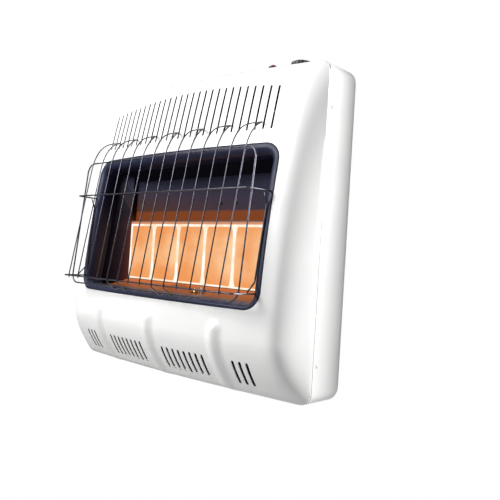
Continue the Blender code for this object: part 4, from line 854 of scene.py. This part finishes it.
trim_grid = np.concatenate([roll_rings, lip_rings])
trim = surface("rolled_trim", trim_grid, close_columns=True, outward=(0, -1, 0))
thicken(trim, sheet)
dress(trim, "navy_enamel", "window_trim")

# %% [markdown]
# ## The guard
#
# The guard is steel wire: an outer loop, two cross bars, seven hairpins and a stay at each side.
# A wire is a circle carried along a path. The circle's plane follows the path's direction, and a
# fixed side direction, never along the wire, keeps it from twisting.

# %% Wires along paths
wire_radius, frame_wire_radius = 0.0013, 0.0016


def tube(name, path, radius, reference, sides=12, closed=False):
    """Ring point = path + radius (cos a N + sin a B), with N = T x reference and B = T x N."""
    along = np.roll(path, -1, axis=0) - np.roll(path, 1, axis=0) if closed else np.gradient(path, axis=0)
    along /= np.linalg.norm(along, axis=1, keepdims=True)
    normal = np.cross(along, reference)
    normal /= np.linalg.norm(normal, axis=1, keepdims=True)
    binormal = np.cross(along, normal)
    size = np.full(len(path), radius)
    if not closed:
        path, normal, binormal = (np.concatenate([a[:1], a, a[-1:]]) for a in (path, normal, binormal))
        size = np.concatenate([[0], size, [0]])
    angle = np.linspace(0, 2 * np.pi, sides, endpoint=False)[None, :, None]
    ring = np.cos(angle) * normal[:, None] + np.sin(angle) * binormal[:, None]
    return surface(name, path[:, None] + size[:, None, None] * ring, close_rows=closed, close_columns=True)


def bend(corners, radius, steps=8):
    """A path through the corners with each inner corner turned into an arc of the given radius."""
    corners = np.asarray(corners, float)
    out = [corners[:1]]
    for before, here, after in zip(corners, corners[1:], corners[2:]):
        back, on = before - here, after - here
        back_length, on_length = np.linalg.norm(back), np.linalg.norm(on)
        back, on = back / back_length, on / on_length
        half = math.acos(float(np.clip(back @ on, -1, 1))) / 2
        reach = min(radius / math.tan(half), back_length * 0.49, on_length * 0.49)
        size = reach * math.tan(half)
        middle = here + (back + on) / np.linalg.norm(back + on) * (size / math.sin(half))
        first, last = here + back * reach - middle, here + on * reach - middle
        spread = math.acos(float(np.clip(first @ last / size ** 2, -1, 1)))
        share = np.linspace(0, 1, steps + 1)[:, None]
        arc = first * np.sin((1 - share) * spread) + last * np.sin(share * spread)
        out.append(middle + arc / math.sin(spread))
    out.append(corners[-1:])
    return np.concatenate(out)


print("the wires are", round(wire_radius * 2000, 1), "and", round(frame_wire_radius * 2000, 1), "mm thick")

# %% The outer loop
loop_low, loop_high, loop_half, loop_corner = window_low + 0.015, window_high - 0.015, 0.267, 0.022
loop_foot_depth, loop_head_depth = 0.224, 0.1972


def loop_plane(z):
    """The loop leans back with the face."""
    return loop_foot_depth + (loop_head_depth - loop_foot_depth) * (z - loop_low) / (loop_high - loop_low)


loop_path = []
loop_corners = (1, loop_low, 1), (1, loop_high, -1), (-1, loop_high, -1), (-1, loop_low, 1)
for k, (side, edge, rise) in enumerate(loop_corners):
    angle = math.radians(90 * k - 90) + quarter(11)
    x = side * (loop_half - loop_corner) + loop_corner * np.cos(angle)
    z = edge + rise * loop_corner + loop_corner * np.sin(angle)
    loop_path.append(place(x, loop_plane(z), z))
loop = tube("guard_loop", np.concatenate(loop_path), frame_wire_radius, (0, -1, 0.0867), closed=True)
dress(loop, "black_wire", "guard_frame")

# %% [markdown]
# Two bars cross the window and turn back at their ends through the trim. A stay at each side runs
# down from one bar's end to the other's.

# %% Cross bars and side stays
bar_half, bar_corner, bar_entry = 0.2695, 0.007, 0.012
upper_bar, lower_bar = (0.380, 0.2185, 0.276), (0.1945, 0.24315, 0.272)


def bar_path(height, depth, end):
    """Straight across, turned back at each end through the trim."""
    entry = float(face_depth(end, height))
    right_side = [(bar_half, depth), (end, entry + bar_entry / 2), (end, entry - bar_entry)]
    points = [(-x, d) for x, d in reversed(right_side)] + right_side
    return bend([place(x, d, height) for x, d in points], bar_corner)


def bar_leg(depth, height, bar_depth, end):
    """Place across of a bar's returning end at a depth."""
    foot = float(face_depth(end, height)) + bar_entry / 2
    return bar_half + (end - bar_half) * min(max((bar_depth - depth) / (bar_depth - foot), 0.0), 1.0)


for word, bar in (("upper", upper_bar), ("lower", lower_bar)):
    dress(tube(f"{word}_cross_bar", bar_path(*bar), frame_wire_radius, (0, 0, 1)),
          "black_wire", f"guard_{word}_bar")

wire_gap, stay_off_trim = 0.0003, 0.003
stay_top, stay_foot, stay_high, stay_low = 0.1795, 0.205, 0.3575, 0.215
upper_x, lower_x = bar_leg(stay_top, *upper_bar), bar_leg(stay_foot, *lower_bar)
touch = 2 * frame_wire_radius - wire_gap
for side, word in ((-1, "left"), (1, "right")):
    stay = [place(side * upper_x, stay_top, upper_bar[0] - touch),
            place(side * upper_x, face_depth(upper_x, stay_high) + stay_off_trim, stay_high),
            place(side * lower_x, face_depth(lower_x, stay_low) + stay_off_trim, stay_low),
            place(side * lower_x, stay_foot, lower_bar[0] + touch)]
    dress(tube(f"{word}_stay", bend(stay, bar_corner), frame_wire_radius, (1, 0, 0)),
          "black_wire", f"guard_side_stay_{word}")

# %% [markdown]
# A hairpin climbs from the lower bar, passes behind the upper bar, swings back over the window on a
# smooth curve and turns round to come down again. The third and the fifth have tails below.

# %% Hairpins
leg_pitch, leg_front = 0.0374, 0.24753 - wire_radius
crossing = wire_radius + frame_wire_radius + wire_gap
arc_start, arc_reach, hairpin_top, turn_start = 0.437, 0.065, 0.513, 0.74


def leg_depth(z):
    """In front of the lower bar and behind the upper one, on a straight line."""
    share = (z - lower_bar[0]) / (upper_bar[0] - lower_bar[0])
    return leg_front + (upper_bar[1] - crossing - leg_front) * share


def hairpin_leg(x, middle, tailed):
    """A straight leg, then a curve of three guide points whose end draws in to the middle."""
    slowing = np.sin(quarter(14))
    share = np.concatenate([np.linspace(0, turn_start, 12)[:-1], turn_start + (1 - turn_start) * slowing])
    guides = [(leg_depth(z), z) for z in (arc_start, arc_start + arc_reach)]
    guides.append((float(face_depth(middle, hairpin_top)) + wire_radius + seam_gap, hairpin_top))
    weights = (1 - share) ** 2, 2 * share * (1 - share), share ** 2
    depth, z = (sum(w * p[k] for w, p in zip(weights, guides)) for k in (0, 1))
    turned = np.clip((share - turn_start) / (1 - turn_start), 0, 1)
    curve = place(middle + (x - middle) * np.sqrt(np.maximum(1 - turned ** 2, 0)), depth, z)
    low = lower_bar[0]
    foot = [place(x, leg_front, low - 0.004), place(x, leg_depth(low), low + 0.004)]
    if tailed:
        foot.insert(0, place(x, loop_plane(loop_low) - 0.001, loop_low - crossing - 0.0007))
        foot = list(bend(foot, 0.006, 5))
    return np.concatenate([np.array(foot), curve])


for number in range(1, 8):
    middle = (number - 4) * 2 * leg_pitch
    left_leg, right_leg = (hairpin_leg(middle + side * leg_pitch / 2, middle, number in (3, 5))
                           for side in (-1, 1))
    path = np.concatenate([left_leg, right_leg[-2::-1]])
    dress(tube(f"hairpin_{number}", path, wire_radius, (0, -0.86, 0.5), 10),
          "black_wire", f"guard_hairpin_{number}")

# %% [markdown]
# ## The burner
#
# A ceramic plaque is pierced by rows of small holes, and the gas burns at their mouths. Each hole
# here is an eight-sided funnel set into its own square of the face. One square is worked out once
# and copied over the whole face by adding a grid of places to it.

# %% Pierce the plaques
plaque_height, plaque_thickness, plaque_half = burner_high - burner_low, 0.012, 0.0432
hole_columns, hole_rows, mouth_radius, floor_share = 39, 58, 0.29, 0.55


def pierced_face(middle):
    """A grid of squares, each with a ring of eight corners, a ring at the hole's mouth and a floor."""
    step_x, step_z = 2 * plaque_half / hole_columns, plaque_height / hole_rows
    angle = np.arange(8) * np.pi / 4
    square = np.stack([np.cos(angle), np.sin(angle)], axis=-1)
    square = square / np.abs(square).max(axis=1, keepdims=True) / 2
    round_mouth = mouth_radius * np.stack([np.cos(angle), np.sin(angle)], axis=-1)
    cell = np.concatenate([square, round_mouth, round_mouth * floor_share, np.zeros((1, 2))])
    depths = np.repeat([0, hole_depth], [16, 9])
    x0 = middle - plaque_half + step_x * (np.arange(hole_columns) + 0.5)
    z0 = burner_low + step_z * (np.arange(hole_rows) + 0.5)
    centre_x, centre_z = (a.reshape(-1, 1) for a in np.meshgrid(x0, z0))
    points = place(centre_x + cell[:, 0] * step_x, burner_front - depths, centre_z + cell[:, 1] * step_z)
    k, after = np.arange(8), (np.arange(8) + 1) % 8
    outer = np.stack([k, after, after + 8, k + 8], axis=-1)
    funnel = np.stack([k + 8, after + 8, after + 16, k + 16], axis=-1)
    floor_faces = np.array([[16, 17, 18, 24], [18, 19, 20, 24], [20, 21, 22, 24], [22, 23, 16, 24]])
    faces = np.concatenate([outer, funnel, floor_faces])
    cells = np.arange(points.shape[0])[:, None, None] * points.shape[1]
    return points.reshape(-1, 3), (faces[None] + cells).reshape(-1, 4)


for number in range(1, 6):
    middle = (number - 3) * plaque_pitch
    plaque = mesh_from_arrays(f"pierced_plaque_{number}", *pierced_face(middle))
    bm = bmesh.new()
    bm.from_mesh(plaque.data)
    bmesh.ops.remove_doubles(bm, verts=bm.verts, dist=1e-6)
    rim = bmesh.ops.extrude_edge_only(bm, edges=[e for e in bm.edges if e.is_boundary])["geom"]
    carry(bm, rim, (0, plaque_thickness, 0))
    bmesh.ops.contextual_create(bm, geom=[e for e in bm.edges if e.is_boundary])
    bmesh.ops.recalc_face_normals(bm, faces=bm.faces)
    bm.to_mesh(plaque.data)
    bm.free()
    dress(plaque, "hot_ceramic", f"ceramic_plaque_{number}")

# %% [markdown]
# The plate over the joints is pressed into bars that are narrow at the waist and flare out at both
# ends. Each opening's sides follow that width: the waist plus a part that dies away quickly.

# %% Press the retainer
retainer_face, overlap, flange_height, pressed_edge = 0.0985, 0.0035, 0.009, 0.0004
waist, flare, flare_reach, end_length = 0.0040, 0.0045, 0.0085, 0.030
retainer_half = burner_half + seam_gap + sheet


def opening_outline(number):
    """Right side upwards and left side downwards, set in by the bars' half width."""
    low, high = burner_low + overlap, burner_high - overlap
    steps = end_length * np.linspace(0, 1, 14) ** 1.5
    z = np.concatenate([low + steps, high - steps[::-1]])
    bar = waist + flare * np.exp(-(np.minimum(z - low, high - z) / flare_reach) ** 1.2)
    middle = (number - 2) * plaque_pitch
    left = middle - plaque_pitch / 2 + (overlap if number == 0 else bar) + 0 * z
    right_side = middle + plaque_pitch / 2 - (overlap if number == 4 else bar) + 0 * z
    return np.concatenate([np.stack([right_side, z], axis=-1), np.stack([left, z], axis=-1)[::-1]])


retainer = box_shape("pressed_retainer", [
    ((-retainer_half, retainer_face, burner_low - seam_gap),
     (retainer_half, retainer_face + sheet, burner_high + flange_height))])
cut(retainer, prism("plaque_openings", [opening_outline(k) for k in range(5)], 0.11, 0.09))
soften = retainer.modifiers.new("pressed edges", "BEVEL")
soften.width = pressed_edge
soften.segments = 2
soften.limit_method = "ANGLE"
soften.angle_limit = math.radians(50)
dress(retainer, "white_hot", "plaque_retainer")

# %% [markdown]
# Below the plaques a curved tray runs forwards under the trim. It is open over the pilot, and a
# small arched shield stands on it.

# %% Bend the tray and the pilot shield
tray_lip = float(lip_depth(window_low + trim_width))
tray_front = window_low + trim_width - set_down - sheet - seam_gap
tray_back = burner_low - seam_gap * 2 - sheet
mouth_half, throat_half = 0.2631, 0.2191


def tray_height(depth):
    """A quarter sine from under the burner to the height of the trim's lower lip."""
    share = np.clip((depth - burner_front) / (tray_lip - seam_gap * 3 - burner_front), 0, 1)
    return tray_back + (tray_front - tray_back) * np.sin(share * np.pi / 2)


def wall_gap(depth):
    """Half the clear width between the side walls."""
    front, rear = float(lip_depth(tray_front)) - seam_gap, burner_front + sheet
    share = np.clip((front - depth) / (front - rear), 0, 1)
    return mouth_half + (throat_half - mouth_half) * share - seam_gap * 3


depths = np.linspace(tray_lip + 0.006, burner_front - 0.010, 33)[:, None]
tray_grid = place(wall_gap(depths) * np.linspace(-1, 1, 61), depths, tray_height(depths))
tray = surface("curved_tray", tray_grid, outward=(0, 0, 1))
thicken(tray, sheet)
notch_left, notch_right, notch_back, notch_front = 0.036, 0.070, 0.111, 0.129
notch_low, notch_high = 0.1655, 0.2035
notch = (notch_left, notch_front, notch_low), (notch_right, notch_back, notch_high)
cut(tray, box_shape("pilot_opening", [notch]))
dress(tray, "hot_steel", "lower_reflector")

shield_x, shield_half, shield_rise, shield_back, shield_front = -0.014, 0.030, 0.009, 0.112, 0.124
angle = np.linspace(0, np.pi, 33)[:, None]
shield_depths = np.linspace(shield_back, shield_front, 4)
arch = tray_height(shield_depths) + seam_gap + sheet + shield_rise * np.sin(angle) ** 1.5
shield_grid = place(shield_x - shield_half * np.cos(angle), shield_depths, arch)
shield = surface("arched_shield", shield_grid, outward=(0, 0, 1))
thicken(shield, sheet)
dress(shield, "hot_steel", "pilot_shield")

# %% [markdown]
# ## The controls
#
# Turned pieces come from a profile of radius and height swept round an axis. The knob's radius also
# ripples with the angle, which makes its grip.

# %% Turned pieces
def turned_piece(name, profile, centre, sides=64, ripple=0.0, waves=0):
    """Point = centre + (r cos a, r sin a, z); the radius is less by the ripple where the wave dips."""
    profile = np.asarray(profile, float)
    angle = np.linspace(0, 2 * np.pi, sides, endpoint=False)
    dip = ripple * (0.5 - 0.5 * np.cos(waves * angle)) ** 0.7 if waves else np.zeros(sides)
    marked = profile[:, 2] if profile.shape[1] == 3 else np.ones(len(profile))
    radius = np.maximum(profile[:, :1] - marked[:, None] * dip, 0)
    x, y = centre[0] + radius * np.cos(angle), centre[1] + radius * np.sin(angle)
    z = np.broadcast_to(profile[:, 1:2] - hang, x.shape)
    return surface(name, np.stack([x, y, z], axis=-1), close_columns=True)


def round_over(radius, top, corner, angles):
    """A quarter circle from the side of a turned piece to its top, as (radius, height)."""
    return [(radius - corner * (1 - math.cos(a)), top - corner * (1 - math.sin(a))) for a in angles]


# %% [markdown]
# The knob is a ribbed cap on a hub, with a shallow dish on top. Its pale mark is a mask in the finish:
# near the middle line, on the outer part of the top.

# %% The control knob
knob_radius, knob_top, knob_corner, hub_radius, hub_bottom = 0.020, 0.64135, 0.0016, 0.0070, 0.6215
bore_radius, bore_top, lid_edge, lid_radius, dish_radius, dish = 0.0041, 0.6405, 0.016, 0.0155, 0.008, 0.0005
grip_ripple, grip_ribs = 0.0009, 20
knob_skirt = float(top_edge(knob_across - knob_radius)) + 0.0035
grip = quarter(7)
knob_profile = [(0, bore_top, 0), (bore_radius, bore_top, 0), (bore_radius, hub_bottom, 0),
                (hub_radius, hub_bottom, 0), (hub_radius, knob_skirt, 0),
                (knob_radius - 0.0006, knob_skirt, 0.4), (knob_radius, knob_skirt + 0.0006, 1),
                (knob_radius, knob_top - knob_corner, 1)]
knob_profile += [(*point, 1 - 0.9 * a / 1.6)
                 for a, point in zip(grip, round_over(knob_radius, knob_top, knob_corner, grip))]
knob_profile += [(lid_edge, knob_top, 0), (lid_radius, knob_top - 0.0004, 0),
                 (dish_radius, knob_top - dish, 0), (0, knob_top - dish, 0)]

tree, shader = new_finish("knob_finish", Roughness=0.42)
skin = use_group(tree, mottle_tree, Fine_Scale=2400.0)
_, across, inward, up = object_axes(tree)
line_half, line_start = 0.0007, -control_depth - 0.006
mark = maths("LESS_THAN", maths("ABSOLUTE", maths("SUBTRACT", across, knob_across)), line_half)
mark = maths("MULTIPLY", mark, maths("LESS_THAN", inward, line_start))
mark = maths("MULTIPLY", mark, maths("GREATER_THAN", up, knob_top - hang - 0.0012))
plastic = blend(ramp(skin["Shade"], 0.35, 0.65), (0.030, 0.031, 0.034), (0.042, 0.043, 0.047))
set_up(shader, Base_Color=blend(mark, plastic, (0.8, 0.8, 0.78)))
bump(shader, skin["Height"], 0.3, 0.00006)

knob = turned_piece("grip_knob", knob_profile, (knob_across, -control_depth), 160, grip_ripple, grip_ribs)
dress(knob, "dark_plastic", "control_knob", body="knob", finish="knob_finish")

# %% [markdown]
# The igniter is a red button with a domed end that slides in a black collar. The collar is one piece
# with the body below the case's top.

# %% The igniter's button and collar
button_radius, button_foot, button_top, dome_height = 0.0052, 0.6245, 0.6405, 0.0024
dome = quarter(9)
button_profile = [(0, button_foot), (button_radius, button_foot), (button_radius, button_top - dome_height)]
button_profile += [(button_radius * math.cos(a), button_top - dome_height * (1 - math.sin(a)))
                   for a in dome[1:]]
button = turned_piece("domed_button", button_profile, (button_across, -button_depth), 48)
dress(button, "red_plastic", "igniter_button", body="igniter_plunger")

collar_radius, collar_top, collar_corner, well_radius, well_floor = 0.0085, 0.6370, 0.0014, 0.0055, 0.6055
collar_seat = float(top_edge(button_across - collar_radius)) + 0.0005
barrel_low, barrel_tip, barrel_radius, barrel_taper = 0.572, 0.0042, 0.0070, 0.004
collar_profile = [(0, barrel_low), (barrel_tip, barrel_low), (barrel_radius, barrel_low + barrel_taper),
                  (barrel_radius, collar_seat), (collar_radius, collar_seat),
                  (collar_radius, collar_top - collar_corner)]
collar_profile += round_over(collar_radius, collar_top, collar_corner, grip[1:])
collar_profile += [(well_radius + 0.0005, collar_top), (well_radius, collar_top - 0.0005),
                   (well_radius, well_floor), (0, well_floor)]
collar = turned_piece("igniter_collar", collar_profile, (button_across, -button_depth), 48)
dress(collar, "black_plastic", "piezo_igniter_body")

# %% [markdown]
# The four screws that hold the cover are enamelled with the case. Each has a low rounded head and a
# cross recess.

# %% Cover screws
head_radius, head_foot, head_rise, screw_depth = 0.004, 0.0004, 0.0012, 0.093
shank_radius, shank_end, recess_floor, recess_end = 0.002, -0.009, 0.0007, 0.003
arc = quarter(7)
angle = np.linspace(0, 2 * np.pi, 32, endpoint=False)
head = np.concatenate([
    [(0, shank_end), (shank_radius, shank_end), (shank_radius, head_foot), (head_radius, head_foot)],
    np.stack([head_radius * np.cos(arc), head_foot + head_rise * np.sin(arc)], axis=-1)])
screw_places = [(side, height) for side in (-1, 1) for height in (0.071, 0.538)]
for number, (side, height) in enumerate(screw_places, 1):
    screw = surface(f"cover_screw_head_{number}", place(
        side * (half_width + head[:, 1:]), screw_depth + head[:, :1] * np.cos(angle),
        height + head[:, :1] * np.sin(angle)), close_columns=True)
    for wide, tall in ((0.0004, 0.0021), (0.0021, 0.0004)):
        cut(screw, box_shape("cross_recess", [
            ((side * (half_width + recess_floor), screw_depth + wide, height - tall),
             (side * (half_width + recess_end), screw_depth - wide, height + tall))]))
    dress(screw, "zinc_steel", f"cover_screw_{number}", finish="white_enamel")

# %% [markdown]
# ## The floor
#
# The heater hangs, so the floor lies well below it. To the camera it is as white as the background;
# to everything else it is an ordinary pale floor that throws some light back up.

# %% Lay the floor
floor_height, floor_line = -1.45, np.linspace(-6, 6, 13)
floor_grid = np.stack(np.broadcast_arrays(floor_line[:, None], floor_line[None, :], floor_height), axis=-1)
floor = surface("floor", floor_grid, outward=(0, 0, 1))
new_finish("card_finish", Roughness=0.9, Base_Color=(0.01, 0.01, 0.01))
for card in cards:
    card.data.materials.append(finishes["card_finish"])
tree, shader = new_finish("floor_finish", Roughness=0.9, Base_Color=(0.4, 0.4, 0.4))
glow = new_node(tree, "ShaderNodeEmission", Strength=1.0, Color=(1, 1, 1))
seen_directly = tree.nodes.new("ShaderNodeLightPath").outputs["Is Camera Ray"]
either = new_node(tree, "ShaderNodeMixShader")
for target, value in zip(either.inputs, (seen_directly, shader.outputs[0], glow.outputs[0])):
    feed(target, value)
set_up(tree.nodes["Material Output"], Surface=either.outputs[0])
floor.data.materials.append(finishes["floor_finish"])
print("the floor lies", -floor_height, "m below the model's origin")
